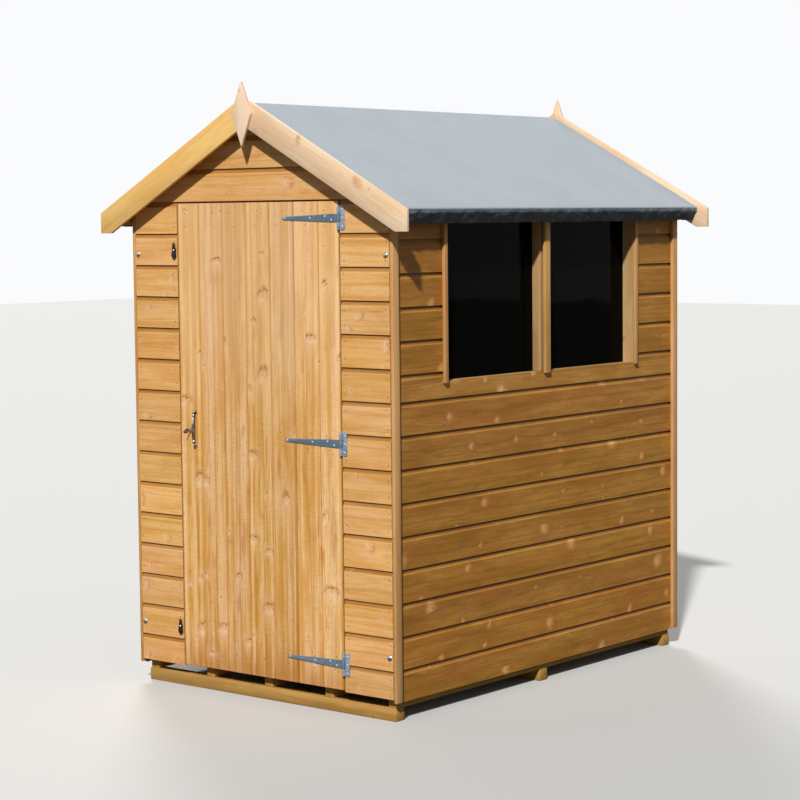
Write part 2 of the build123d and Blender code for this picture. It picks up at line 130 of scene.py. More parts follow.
@dataclass(frozen=True)
class Signal:
    """A value that flows out of one shader node, with arithmetic on it."""

    sheet: ShaderSheet
    socket: bpy.types.NodeSocket

    def _math(self, operation: str, *values: Signal | float) -> Signal:
        """Adds a Math node that works on the given values."""
        return self.sheet.node("ShaderNodeMath", {"operation": operation}, dict(enumerate(values)))

    def __add__(self, other: Signal | float) -> Signal:
        """Sum."""
        return self._math("ADD", self, other)

    def __sub__(self, other: Signal | float) -> Signal:
        """Difference."""
        return self._math("SUBTRACT", self, other)

    def __rsub__(self, other: Signal | float) -> Signal:
        """Difference from a plain number."""
        return self._math("SUBTRACT", other, self)

    def __mul__(self, other: Signal | float) -> Signal:
        """Product."""
        return self._math("MULTIPLY", self, other)

    def __truediv__(self, other: Signal | float) -> Signal:
        """Quotient."""
        return self._math("DIVIDE", self, other)

    def __pow__(self, other: Signal | float) -> Signal:
        """Power."""
        return self._math("POWER", self, other)

    def bell(self) -> Signal:
        """A bell curve of the value, one at nought and almost nought past two."""
        return self._math("EXPONENT", 0.0 - self * self)

    def wave(self) -> Signal:
        """The sine of the value, from 0 to 1."""
        return self._math("SINE", self).as_share()

    def as_share(self) -> Signal:
        """Turns a value from -1 to 1 into one from 0 to 1."""
        return self * 0.5 + 0.5

    def length_with(self, other: Signal) -> Signal:
        """The length of a line from its two parts."""
        return (self * self + other * other) ** 0.5

    def above(self, limit: float) -> Signal:
        """One where the value is over a limit, and nought elsewhere."""
        return self._math("GREATER_THAN", self, limit)

    def smooth(self, low: float, high: float) -> Signal:
        """A soft step of the value.

        Args:
            low: Where the step starts.
            high: Where the step is complete.

        Returns:
            A value from 0 to 1.
        """
        return self.sheet.node("ShaderNodeMapRange", {"interpolation_type": "SMOOTHSTEP"},
                               {"Value": self, "From Min": low, "From Max": high})

    def clamped(self) -> Signal:
        """The value held between 0 and 1."""
        return self.sheet.node("ShaderNodeClamp", {}, {"Value": self})

    def greater(self, other: Signal | float) -> Signal:
        """The greater of the value and another."""
        return self._math("MAXIMUM", self, other)

    def about_one(self, width: float) -> Signal:
        """Turns a random number from 0 to 1 into one about 1.

        Args:
            width: Width of its range.

        Returns:
            The new number.
        """
        return self * width + (1.0 - width / 2)

    def outlet(self, name: str) -> Signal:
        """Another output of the same node."""
        return Signal(self.sheet, self.socket.node.outputs[name])


MIX_FACTOR, MIX_FIRST, MIX_SECOND = 0, 6, 7
MIX_RESULT = 2


class ShaderSheet:
    """The node tree of a material or of the world."""

    def __init__(self, owner: bpy.types.Material | bpy.types.World) -> None:
        """Starts with an empty tree.

        Args:
            owner: The new material or world.
        """
        owner.use_nodes = True
        self.owner = owner
        self.tree = owner.node_tree
        self.tree.nodes.clear()

    @classmethod
    def of_material(cls, name: str) -> ShaderSheet:
        """The sheet of a new material."""
        return cls(bpy.data.materials.new(name))

    def node(self, kind: str, settings: dict | None = None, inputs: dict | None = None,
             output: int | str = 0) -> Signal:
        """Adds a node of any type.

        Args:
            kind: The node's type.
            settings: Its settings.
            inputs: Values or signals by socket.
            output: The output to give back.

        Returns:
            The chosen output as a signal.
        """
        made = self.tree.nodes.new(kind)
        for key, value in (settings or {}).items():
            setattr(made, key, value)
        for key, value in (inputs or {}).items():
            if isinstance(value, Signal):
                self.tree.links.new(value.socket, made.inputs[key])
            else:
                made.inputs[key].default_value = value
        return Signal(self, made.outputs[output])

    def object_place(self) -> Signal:
        """The place in the object's own axes, in metres."""
        return self.node("ShaderNodeTexCoord", output="Object")

    def attribute(self, name: str, output: str = "Fac") -> Signal:
        """A value that the mesh carries."""
        return self.node("ShaderNodeAttribute", {"attribute_name": name}, output=output)

    def parts(self, vector: Signal) -> tuple[Signal, Signal, Signal]:
        """The three parts of a vector or colour."""
        split = self.node("ShaderNodeSeparateXYZ", {}, {0: vector})
        return split, split.outlet("Y"), split.outlet("Z")

    def vector(self, x: Signal | float, y: Signal | float, z: Signal | float) -> Signal:
        """A vector from three numbers."""
        return self.node("ShaderNodeCombineXYZ", {}, {0: x, 1: y, 2: z})

    def noise(self, place: Signal, scale: float, detail: float = 2.0, roughness: float = 0.5) -> Signal:
        """Noise about the middle of 0 to 1 at a place in space."""
        return self.node("ShaderNodeTexNoise", {"noise_dimensions": "3D"},
                         {"Vector": place, "Scale": scale, "Detail": detail, "Roughness": roughness})

    def blend(self, factor: Signal | float, first: Signal | Colour, second: Signal | Colour,
              mode: str = "MIX") -> Signal:
        """Blends two colours.

        Args:
            factor: Share of the second colour.
            first: The colour at 0.
            second: The colour at 1.
            mode: The blending mode.

        Returns:
            The blended colour.
        """
        settings = {"data_type": "RGBA", "blend_type": mode}
        colours = {MIX_FACTOR: factor, MIX_FIRST: first, MIX_SECOND: second}
        return self.node("ShaderNodeMix", settings, colours, MIX_RESULT)

    def bump(self, height: Signal, distance: float, strength: float) -> Signal:
        """A bumped normal from a height."""
        return self.node("ShaderNodeBump", {}, {"Height": height, "Distance": distance, "Strength": strength})

    def finish(self, inputs: dict) -> bpy.types.Material:
        """Closes the material with one Principled shader.

        Args:
            inputs: Values or signals by the shader's socket names.

        Returns:
            The material.
        """
        self.close("ShaderNodeOutputMaterial", self.node("ShaderNodeBsdfPrincipled", {}, inputs))
        return self.owner

    def close(self, kind: str, shader: Signal) -> None:
        """Joins a shader to the tree's end.

        Args:
            kind: The end node's type.
            shader: The shader.
        """
        end = self.tree.nodes.new(kind)
        self.tree.links.new(shader.socket, end.inputs["Surface"])


@dataclass(frozen=True)
class Pattern:
    """Noise drawn out along the grain, in cells a metre, and the step that takes its marks from it."""

    along: float
    across: float
    moved_by: tuple[int, ...]
    detail: float
    roughness: float = 0.5
    step: tuple[float, float] = (0.0, 1.0)


SHUFFLE = 60.0
SWAY = Pattern(1.5, 4.0, (0, 1, 2), 3.0)
STAIN = Pattern(2.6, 13.0, (1, 0), 4.0, 0.6, (0.36, 0.64))
FIBRES = Pattern(9.0, 190.0, (0,), 3.0, 0.65, (0.48, 0.66))
CHATTER = Pattern(230.0, 26.0, (1,), 2.0, step=(0.50, 0.70))
BRUISES = Pattern(8.0, 42.0, (2, 1), 2.0, step=(0.60, 0.72))
STREAK_STEP = (0.51, 0.61)
BAND_STEP = (0.48, 0.68)
BANDS_PER_METRE = 70.0
PITH_ASIDE = 0.12
PITH_DEPTHS = (0.012, 0.06)
RING_SWAY = 0.034
RING_ROUND_KNOT = 0.005
KNOT_SCATTER = 0.9
KNOT_GRIT = 160.0
KNOT_LENGTHS = (0.65, 0.45)
KNOT_WIDEST = 1.1
KNOT_LEAN = 0.8
KNOT_LEAST = 0.0035
KNOT_MIDDLE = 0.001
CORE_REACH = 1.5
CORE_SOFTNESS = 1.3
CORE_FADE = 0.55
RIM_WIDTH = 0.42
RIM_STEP = (0.36, 0.56)
PITH_WIDTH = 0.34
PITH_SHARE = 0.4
HALO_REACH = 3.0
TOP_HEIGHTS = (0.75, 1.55)
FOOT_HEIGHTS = (0.09, 0.24)
FOOT_RAGGED = 0.16
TONE_MIDDLE = 0.6
FIBRE_ROUGHNESS = 0.10
BAND_ROUGHNESS = 0.08
LINE_RELIEF = 0.3
FIBRE_RELIEF = 0.4
KNOT_RELIEF = 0.4
RELIEF_HEIGHT = 0.0004
RELIEF_STRENGTH = 0.3


@dataclass(frozen=True)
class BoardGrain:
    """A shading point's place along, across and into its board, and the board's three random numbers."""

    sheet: ShaderSheet
    place: tuple[Signal, Signal, Signal]
    draws: tuple[Signal, Signal, Signal]

    def noise(self, pattern: Pattern) -> Signal:
        """A pattern's noise, in another place on every board.

        Args:
            pattern: The pattern.

        Returns:
            The noise, about the middle of 0 to 1.
        """
        scales = (pattern.along, pattern.across, pattern.across)
        moved = [part * scale for part, scale in zip(self.place, scales)]
        for axis, draw in enumerate(pattern.moved_by):
            moved[axis] = moved[axis] + self.draws[draw] * SHUFFLE
        return self.sheet.noise(self.sheet.vector(*moved), 1.0, pattern.detail, pattern.roughness)

    def marks(self, pattern: Pattern) -> Signal:
        """A pattern's marks, from 0 to 1."""
        return self.noise(pattern).smooth(*pattern.step)


@dataclass(frozen=True)
class TimberFinish:
    """Stained softwood: growth bands, streaks, knots, and a tone and worn marks of each board's own."""

    name: str
    pale: Colour
    mid: Colour
    dark: Colour
    knot: Colour
    tone_spread: float = 0.12
    band_strength: float = 0.42
    knot_share: float = 0.62
    roughness: float = 0.55
    knot_every: float = 0.24
    knot_across: float = 0.075
    ring_width: float = 0.0052
    sheen: float = 0.25
    rosy: Colour | None = None
    olive: Colour | None = None
    streak: float = 0.35
    streaks_per_metre: float = 40.0
    streak_length: float = 1.1
    line_share: float = 0.18
    knot_lines: float = 0.25
    fibre_share: float = 0.26
    halo_share: float = 0.40
    core_share: float = 0.75
    knot_size: float = 0.0105
    knot_ring: float = 0.7
    knot_spike: float = 0.6
    knot_ragged: float = 0.015
    chatter: float = 0.05
    bruises: float = 0.0
    top_paling: float = 0.0
    foot_darkening: float = 0.0
    green_spread: float = 0.05
    blue_spread: float = 0.20
    # How far a full joint_shade darkens the tone, and green and blue besides; in the shiplap's coves this
    # paints a warm shade.
    joint_dark: float = 0.62
    joint_green: float = 0.20
    joint_blue: float = 0.55

    def material(self) -> bpy.types.Material:
        """Builds the finish.

        Returns:
            The material; it reads the attributes grain_place, board_seed and joint_shade.
        """
        sheet = ShaderSheet.of_material(self.name)
        grain = BoardGrain(sheet, sheet.parts(sheet.attribute("grain_place", "Vector")),
                           sheet.parts(sheet.attribute("board_seed", "Vector")))
        core, rim, halo = self._knots(grain)
        band, lines = self._rings(grain, halo)
        fibres = grain.noise(FIBRES)
        streaks = grain.noise(Pattern(1.0 / self.streak_length, self.streaks_per_metre, (2, 0), 3.0, 0.6))
        rosy = self.rosy or self.pale
        olive = self.olive or self.dark
        colour = sheet.blend(grain.marks(STAIN), self.mid, self.pale)
        colour = sheet.blend(streaks.smooth(*STREAK_STEP) * self.streak, colour, rosy)
        colour = sheet.blend((1.0 - streaks).smooth(*STREAK_STEP) * self.streak, colour, olive)
        darker = [band.smooth(*BAND_STEP) * self.band_strength,
                  lines * (halo * self.knot_lines + self.band_strength * self.line_share),
                  fibres.smooth(*FIBRES.step) * self.fibre_share,
                  grain.marks(CHATTER) * self.chatter]
        if self.bruises:
            darker.append(grain.marks(BRUISES) * self.bruises)
        for share in darker:
            colour = sheet.blend(share, colour, self.dark)
        if self.top_paling or self.foot_darkening:
            colour = self._graded_by_height(sheet, colour, streaks)
        colour = sheet.blend(halo * self.halo_share, colour, rosy)
        colour = sheet.blend(core * self.core_share, colour, self.knot)
        colour = sheet.blend(rim * self.knot_ring, colour, self.dark)
        smoothest = self.roughness - (FIBRE_ROUGHNESS + BAND_ROUGHNESS) / 2
        rough = fibres * FIBRE_ROUGHNESS + band * BAND_ROUGHNESS + smoothest
        relief = lines * LINE_RELIEF + fibres * FIBRE_RELIEF + core * KNOT_RELIEF
        return sheet.finish({"Base Color": self._toned(grain, colour), "Roughness": rough,
                             "Normal": sheet.bump(relief, RELIEF_HEIGHT, RELIEF_STRENGTH),
                             "Specular IOR Level": self.sheen})

    def _rings(self, grain: BoardGrain, halo: Signal) -> tuple[Signal, Signal]:
        """Growth rings round a pith behind the board's face, swollen round the knots.

        Args:
            grain: The board's grain.
            halo: The grain that the knots disturb.

        Returns:
            Broad bands of growth and the fine lines of the rings, both from 0 to 1.
        """
        _, across, deep = grain.place
        first, second, third = grain.draws
        aside = across - (first - 0.5) * PITH_ASIDE
        under = deep + PITH_DEPTHS[0] + second * PITH_DEPTHS[1]
        sway = (grain.noise(SWAY) - 0.5) * RING_SWAY
        ring = aside.length_with(under) + sway + halo * RING_ROUND_KNOT
        place = ring * BANDS_PER_METRE + third * SHUFFLE
        band = grain.sheet.node("ShaderNodeTexNoise", {"noise_dimensions": "1D"},
                                {"W": place, "Scale": 1.0, "Detail": 5.0, "Roughness": 0.7})
        return band, (ring * (2 * math.pi / self.ring_width)).wave() ** 2.0

    def _knots(self, grain: BoardGrain) -> tuple[Signal, Signal, Signal]:
        """Scatters the knots of a board.

        Args:
            grain: The board's grain.

        Returns:
            The knot's pale core, its darker rim and pith, and the grain disturbed round it.
        """
        sheet = grain.sheet
        along, across, _ = grain.place
        first, second, _ = grain.draws
        cell = sheet.vector(along / self.knot_every + first * SHUFFLE,
                            across / self.knot_across + second * SHUFFLE, 0.0)
        points = sheet.node("ShaderNodeTexVoronoi", {"voronoi_dimensions": "2D"},
                            {"Vector": cell, "Scale": 1.0, "Randomness": KNOT_SCATTER})
        offset = sheet.node("ShaderNodeVectorMath", {"operation": "SUBTRACT"},
                            {0: cell, 1: points.outlet("Position")})
        off_along, off_across, _ = sheet.parts(offset)
        size = sheet.node("ShaderNodeSeparateColor", {}, {0: points.outlet("Color")})
        lean = size.outlet("Green")
        spike = size.outlet("Blue")
        ragged = sheet.noise(sheet.vector(along * KNOT_GRIT, across * KNOT_GRIT, first * SHUFFLE), 1.0, 2.0)
        off_along = off_along * self.knot_every * (spike * KNOT_LENGTHS[1] + KNOT_LENGTHS[0])
        off_across = off_across * self.knot_across * (KNOT_WIDEST - spike * self.knot_spike)
        off_across = off_across + off_along * (lean - KNOT_LEAN)
        straight = off_along.length_with(off_across)
        side = (off_along / (straight + KNOT_MIDDLE)).as_share().clamped()
        radius = size * size * self.knot_size + KNOT_LEAST
        there = lean.above(1.0 - self.knot_share)
        share = (straight + (ragged - 0.5) * self.knot_ragged) / radius
        core = (CORE_REACH - share).smooth(0.0, CORE_SOFTNESS) * (1.0 - side * CORE_FADE) * there
        rim = ((share - 1.0) / RIM_WIDTH).bell() * side * ragged.smooth(*RIM_STEP)
        rim = (rim + (share / PITH_WIDTH).bell() * PITH_SHARE) * there
        return core, rim, (share / HALO_REACH).bell() * there

    def _graded_by_height(self, sheet: ShaderSheet, colour: Signal, streaks: Signal) -> Signal:
        """Makes a board paler high up and darker towards its foot.

        Args:
            sheet: The node tree.
            colour: The colour so far.
            streaks: The streaks along the board, which make the edge of the darker foot ragged.

        Returns:
            The weathered colour.
        """
        _, _, height = sheet.parts(sheet.object_place())
        colour = sheet.blend(height.smooth(*TOP_HEIGHTS) * self.top_paling, colour, self.rosy or self.pale)
        ragged_height = height + (streaks - 0.5) * FOOT_RAGGED
        return sheet.blend((1.0 - ragged_height.smooth(*FOOT_HEIGHTS)) * self.foot_darkening, colour, self.dark)

    def _toned(self, grain: BoardGrain, colour: Signal) -> Signal:
        """Gives a board a tone and warmth of its own, and darkens it by joint_shade: warm painted shade in
        the shiplap's coves, and stain in the door's joints with paler wear beside them.

        Args:
            grain: The board's grain.
            colour: The colour so far.

        Returns:
            The finished colour.
        """
        first, second, third = grain.draws
        joint = grain.sheet.attribute("joint_shade")
        tone = third * self.tone_spread + (1.0 - self.tone_spread * TONE_MIDDLE)
        tone = tone * (1.0 - joint * self.joint_dark)
        green = tone * first.about_one(self.green_spread) * (1.0 - joint * self.joint_green)
        blue = tone * second.about_one(self.blue_spread) * (1.0 - joint * self.joint_blue)
        return grain.sheet.blend(1.0, colour, grain.sheet.vector(tone, green, blue), "MULTIPLY")


@dataclass(frozen=True)
class MetalFinish:
    """Plated or painted steel with a faint grain of its coat; on the chrome its bright and dark patches are
    painted reflections.
    """

    name: str
    bright: Colour
    dull: Colour
    metallic: float
    roughness: float
    spangle: float = 260.0
    patina: float = 0.5
    gloss: float = 0.5
    crystal_share: float = 0.55
    smear_scale: float = 0.3
    smear_roughness: float = 0.16
    relief: float = 0.0002
    relief_strength: float = 0.25

    def material(self) -> bpy.types.Material:
        """Builds the finish.

        Returns:
            The material, patterned on object coordinates.
        """
        sheet = ShaderSheet.of_material(self.name)
        place = sheet.object_place()
        crystals = sheet.node("ShaderNodeTexVoronoi", {"voronoi_dimensions": "3D"},
                              {"Vector": place, "Scale": self.spangle}, "Color")
        shade = sheet.node("ShaderNodeSeparateColor", {}, {0: crystals})
        smear = sheet.noise(place, self.spangle * self.smear_scale, 3.0)
        share = ((shade * self.crystal_share + smear * (1.0 - self.crystal_share)) * self.patina).clamped()
        colour = sheet.blend(share, self.bright, self.dull)
        rough = smear * self.smear_roughness + (self.roughness - self.smear_roughness / 2)
        normal = sheet.bump(smear, self.relief, self.relief_strength)
        return sheet.finish({"Base Color": colour, "Metallic": self.metallic, "Roughness": rough,
                             "Specular IOR Level": self.gloss, "Normal": normal})


@dataclass(frozen=True)
class FeltFinish:
    """Mineral roofing felt: slate granules on bitumen, with painted shade on its bend over the eave and
    darker painted shade where it is folded down.
    """

    name: str
    face: Colour
    fleck: Colour
    # The last two colours are painted shade: the felt darkened where it turns away from the light over the
    # eave.
    painted_bend_shade: Colour
    fold: Colour
    granules_per_metre: float = 620.0
    granule_step: tuple[float, float] = (0.40, 0.66)
    clouds_per_metre: float = 5.0
    cloud_step: tuple[float, float] = (0.40, 0.75)
    cloud_share: float = 0.22
    rags_per_metre: float = 26.0
    bend_step: tuple[float, float] = (0.08, 0.20)
    bend_ragged: float = 0.15
    fold_step: tuple[float, float] = (0.44, 0.66)
    fold_ragged: float = 0.70
    relief: float = 0.0006
    relief_strength: float = 0.45
    roughness: float = 0.92

    def material(self) -> bpy.types.Material:
        """Builds the finish.

        Returns:
            The material; it reads the attribute fold_share to place the painted shade of the bend and the
            folded band.
        """
        sheet = ShaderSheet.of_material(self.name)
        place = sheet.object_place()
        fold = sheet.attribute("fold_share")
        granules = sheet.noise(place, self.granules_per_metre, 2.0, 0.7)
        cloud = sheet.noise(place, self.clouds_per_metre, 4.0, 0.6)
        colour = sheet.blend(granules.smooth(*self.granule_step), self.face, self.fleck)
        colour = sheet.blend(cloud.smooth(*self.cloud_step) * self.cloud_share, colour, self.fleck)
        ragged = sheet.noise(place, self.rags_per_metre, 2.0) - 0.5
        colour = sheet.blend((fold + ragged * self.bend_ragged).smooth(*self.bend_step), colour, self.painted_bend_shade)
        colour = sheet.blend((fold + ragged * self.fold_ragged).smooth(*self.fold_step), colour, self.fold)
        normal = sheet.bump(granules, self.relief, self.relief_strength)
        return sheet.finish({"Base Color": colour, "Roughness": self.roughness, "Normal": normal})


@dataclass(frozen=True)
class GlassFinish:
    """A horticultural pane tinted nearly opaque black: painted shade standing in for the dark of the shed
    behind it.
    """

    name: str
    tint: Colour
    cover: float
    waves_per_metre: float = 4.0
    wave_height: float = 0.002
    wave_strength: float = 0.2
    dust_per_metre: float = 90.0
    dust_step: tuple[float, float] = (0.45, 0.8)
    dust_roughness: float = 0.05
    roughness: float = 0.02
    ior: float = 1.08

    def material(self) -> bpy.types.Material:
        """Builds the finish.

        Returns:
            The material, with a slow wave in the sheet.
        """
        sheet = ShaderSheet.of_material(self.name)
        place = sheet.object_place()
        wave = sheet.noise(place, self.waves_per_metre, 1.0)
        normal = sheet.bump(wave, self.wave_height, self.wave_strength)
        dust = sheet.noise(place, self.dust_per_metre, 3.0).smooth(*self.dust_step)
        rough = dust * self.dust_roughness + self.roughness
        return sheet.finish({"Base Color": self.tint, "Roughness": rough, "Alpha": self.cover,
                             "IOR": self.ior, "Normal": normal})


class Finish(Enum):
    """Every finish of the shed, by the piece that wears it."""

    CLADDING = TimberFinish("golden_shiplap", srgb(234, 184, 118), srgb(222, 165, 92), srgb(182, 116, 48),
                            srgb(240, 200, 156), band_strength=0.36, rosy=srgb(234, 182, 130),
                            olive=srgb(206, 150, 74), knot_size=0.013, knot_ring=0.8, chatter=0.12,
                            bruises=0.16, foot_darkening=0.2)
    # A darker, more orange copy of the golden shiplap for the side walls: painted shade for the weaker light
    # that falls on them.
    DEEP_CLADDING = TimberFinish("deep_stained_shiplap", srgb(190, 136, 58), srgb(168, 113, 40),
                                 srgb(114, 64, 18), srgb(252, 192, 118), band_strength=0.30,
                                 rosy=srgb(178, 110, 52), olive=srgb(154, 110, 40), streak=0.45,
                                 streaks_per_metre=26.0, streak_length=0.30, knot_size=0.026,
                                 knot_ring=0.35, knot_spike=0.1, knot_ragged=0.034, knot_every=0.28,
                                 chatter=0.14, bruises=0.22)
    DOOR = TimberFinish("golden_door_boards", srgb(232, 188, 126), srgb(214, 157, 76), srgb(168, 101, 36),
                        srgb(242, 204, 164), band_strength=0.42, knot_share=0.62, rosy=srgb(240, 196, 146),
                        olive=srgb(202, 148, 70), streak=0.72, streaks_per_metre=55.0, streak_length=1.6,
                        knot_size=0.0175, knot_ring=1.0, knot_every=0.27, chatter=0.22, bruises=0.42,
                        top_paling=0.42, foot_darkening=0.5)
    STRIP = TimberFinish("golden_strips", srgb(216, 168, 108), srgb(202, 150, 90), srgb(170, 116, 62),
                         srgb(224, 184, 138), knot_share=0.3)
    TRIM = TimberFinish("pale_roof_trim", srgb(240, 214, 180), srgb(230, 196, 158), srgb(202, 154, 106),
                        srgb(190, 130, 78), band_strength=0.26, knot_share=0.75, tone_spread=0.06,
                        rosy=srgb(240, 206, 176), olive=srgb(224, 184, 140), knot_size=0.015)
    FINIAL = TimberFinish("pale_finials", srgb(244, 218, 188), srgb(236, 206, 174), srgb(210, 168, 130),
                          srgb(214, 168, 122), band_strength=0.24, knot_share=0.3, tone_spread=0.04,
                          olive=srgb(234, 200, 164))
    GOLD_TRIM = TimberFinish("golden_roof_trim", srgb(240, 196, 128), srgb(232, 180, 108), srgb(202, 144, 78),
                             srgb(236, 190, 140), band_strength=0.26, tone_spread=0.06,
                             olive=srgb(222, 166, 96))
    FRAME = TimberFinish("sawn_framing", srgb(196, 160, 108), srgb(180, 142, 90), srgb(146, 106, 60),
                         srgb(132, 86, 50), roughness=0.7)
    ROOF_BOARD = TimberFinish("sawn_roof_boards", srgb(216, 172, 114), srgb(198, 150, 92), srgb(160, 110, 62),
                              srgb(140, 86, 48), roughness=0.72)
    FLOOR = TimberFinish("planed_floor", srgb(216, 172, 112), srgb(200, 150, 90), srgb(164, 112, 60),
                         srgb(146, 90, 50), roughness=0.62)
    BASE = TimberFinish("treated_bearers", srgb(192, 150, 80), srgb(174, 132, 64), srgb(136, 96, 42),
                        srgb(122, 80, 38), roughness=0.72)
    STRAP = MetalFinish("galvanised_straps", srgb(124, 144, 158), srgb(62, 86, 102), 0.1, 0.5, patina=0.85,
                        gloss=0.3)
    PLATE = MetalFinish("galvanised_plates", srgb(176, 190, 204), srgb(70, 90, 110), 0.2, 0.45, patina=1.0,
                        gloss=0.3)
    SCREW = MetalFinish("zinc_screws", srgb(192, 202, 206), srgb(140, 152, 158), 0.35, 0.4, gloss=0.4)
    BOLT = MetalFinish("zinc_bolts", srgb(196, 200, 202), srgb(150, 154, 158), 0.95, 0.26)
    # The handle's chrome: its near-white and dark patches are painted highlights and reflections, scattered
    # by noise.
    CHROME = MetalFinish("bright_plate", srgb(246, 240, 238), srgb(62, 56, 54), 1.0, 0.16, spangle=70.0,
                         patina=1.15)
    KEY = MetalFinish("dull_key", srgb(170, 136, 114), srgb(126, 96, 80), 0.3, 0.5, gloss=0.3)
    BLACK = MetalFinish("black_japan", srgb(28, 28, 30), srgb(16, 16, 18), 0.2, 0.36)
    NAIL = MetalFinish("weathered_nails", srgb(104, 66, 34), srgb(62, 38, 20), 0.3, 0.6, patina=0.9)
    # The felt's bend and fold colours are painted shade on the eave band.
    FELT = FeltFinish("mineral_felt", srgb(175, 182, 187), srgb(141, 150, 157), srgb(106, 119, 129),
                      srgb(66, 69, 73))
    # The near-black, nearly opaque tint is painted shade of the shed's dark inside.
    GLASS = GlassFinish("dark_panes", srgb(8, 8, 7), 0.95)

    def material(self) -> bpy.types.Material:
        """The finish's material, built once."""
        ready = bpy.data.materials.get(self.value.name)
        return ready or self.value.material()


def only(piece: bpy.types.Object) -> None:
    """Makes a piece the one selected and active object."""
    bpy.ops.object.select_all(action="DESELECT")
    piece.select_set(True)
    bpy.context.view_layer.objects.active = piece


def begin(name: str, size: tuple[float, float, float] = (1.0, 1.0, 1.0)) -> bpy.types.Object:
    """Names and sizes the primitive that was just added, and puts its place in its mesh.

    Args:
        name: The piece's name.
        size: Its size along its own axes, in sizes of the primitive.

    Returns:
        The piece, at the origin, unturned and unscaled.
    """
    piece = bpy.context.active_object
    only(piece)
    piece.name = name
    piece.data.name = name
    piece.scale = size
    bpy.ops.object.transform_apply(location=True, rotation=True, scale=True)
    return piece


def edit(piece: bpy.types.Object) -> None:
    """Opens a piece for editing, with everything in it selected."""
    only(piece)
    bpy.ops.object.mode_set(mode="EDIT")
    bpy.ops.mesh.select_all(action="SELECT")


def close_solid() -> None:
    """Turns every face outwards on the piece that is open for editing, and closes it."""
    bpy.ops.mesh.select_all(action="SELECT")
    bpy.ops.mesh.normals_make_consistent(inside=False)
    bpy.ops.object.mode_set(mode="OBJECT")


def apply(piece: bpy.types.Object, modifier: bpy.types.Modifier) -> None:
    """Makes a modifier's work part of the piece's mesh."""
    only(piece)
    bpy.ops.object.modifier_apply(modifier=modifier.name)


def draw_and_run(name: str, outline: Sequence[Vector], run: Vector) -> bpy.types.Object:
    """Draws a closed section from one vertex, fills it and runs it out to a solid.

    Args:
        name: The piece's name.
        outline: Corners of the section, in order.
        run: How far and where the section is extruded.

    Returns:
        The piece.
    """
    bpy.ops.mesh.primitive_plane_add(size=BOARD_THICKNESS, location=outline[0])
    piece = begin(name)
    edit(piece)
    bpy.ops.mesh.merge(type="CENTER")
    for here, there in zip(outline, outline[1:]):
        bpy.ops.mesh.extrude_vertices_move(TRANSFORM_OT_translate={"value": there - here})
    bpy.ops.mesh.select_all(action="SELECT")
    bpy.ops.mesh.edge_face_add()
    bpy.ops.mesh.extrude_region_move(TRANSFORM_OT_translate={"value": run})
    close_solid()
    return piece


def cut_away(piece: bpy.types.Object, place: Vector, outward: Vector) -> None:
    """Saws off what lies on the outer side of a plane.

    Args:
        piece: The piece to trim.
        place: A point on the cut.
        outward: The cut's normal, towards the waste.
    """
    edit(piece)
    bpy.ops.mesh.bisect(plane_co=place, plane_no=outward, use_fill=True, clear_outer=True)
    bpy.ops.object.mode_set(mode="OBJECT")


def copy_of(piece: bpy.types.Object, name: str, shift: Matrix) -> bpy.types.Object:
    """A copy of a piece with its own mesh.

    Args:
        piece: The piece to copy.
        name: The copy's name.
        shift: Where the copy's mesh goes.

    Returns:
        The copy.
    """
    twin = piece.copy()
    twin.data = piece.data.copy()
    twin.name = name
    bpy.context.scene.collection.objects.link(twin)
    twin.data.transform(shift)
    return twin


def joined(pieces: Sequence[bpy.types.Object], name: str) -> bpy.types.Object:
    """Joins pieces that never move against each other.

    Args:
        pieces: The pieces.
        name: The joined piece's name.

    Returns:
        The joined piece.
    """
    only(pieces[0])
    for piece in pieces[1:]:
        piece.select_set(True)
    if len(pieces) > 1:
        bpy.ops.object.join()
    pieces[0].name = name
    pieces[0].data.name = name
    return pieces[0]


def scattered(master: bpy.types.Object, name: str, places: Iterable[Matrix]) -> bpy.types.Object:
    """Copies a piece to each place, joins the copies and takes the first piece away.

    Args:
        master: The piece to copy.
        name: The joined piece's name.
        places: Where each copy's mesh goes.

    Returns:
        The joined piece.
    """
    copies = [copy_of(master, master.name, place) for place in places]
    bpy.data.objects.remove(master)
    return joined(copies, name)


def smoothed(piece: bpy.types.Object, degrees: float = SMOOTH_DEGREES) -> bpy.types.Object:
    """Shades a piece smooth, with creases past an angle."""
    only(piece)
    bpy.ops.object.shade_smooth_by_angle(angle=math.radians(degrees))
    return piece


def rounded(piece: bpy.types.Object, width: float, segments: int) -> bpy.types.Object:
    """Rounds the sharp arrises of a piece.

    Args:
        piece: The piece.
        width: Width of the rounding.
        segments: Facets of the rounding.

    Returns:
        The piece.
    """
    bevel = piece.modifiers.new("arris", "BEVEL")
    bevel.width = width
    bevel.segments = segments
    bevel.limit_method = "ANGLE"
    bevel.angle_limit = BEVEL_ANGLE
    apply(piece, bevel)
    return smoothed(piece)


def places_of(piece: bpy.types.Object) -> np.ndarray:
    """The vertices of a piece, one row each."""
    flat = np.zeros(len(piece.data.vertices) * 3, np.float32)
    piece.data.vertices.foreach_get("co", flat)
    return flat.reshape(-1, 3)


def write_shade(piece: bpy.types.Object, name: str, shade: np.ndarray) -> None:
    """Stores one number for each vertex, which the finish reads by its name."""
    layer = piece.data.attributes.new(name, "FLOAT", "POINT")
    layer.data.foreach_set("value", shade.astype(np.float32))


def write_grain(piece: bpy.types.Object, grain: np.ndarray, seeds: np.ndarray) -> None:
    """Stores where each vertex lies in its board, and the board's random numbers.

    Args:
        piece: The piece.
        grain: Place along, across and into the board, one row a vertex.
        seeds: Three random numbers of the vertex's board, one row a vertex.
    """
    for name, rows in (("grain_place", grain), ("board_seed", seeds)):
        layer = piece.data.attributes.new(name, "FLOAT_VECTOR", "POINT")
        layer.data.foreach_set("vector", rows.astype(np.float32).ravel())


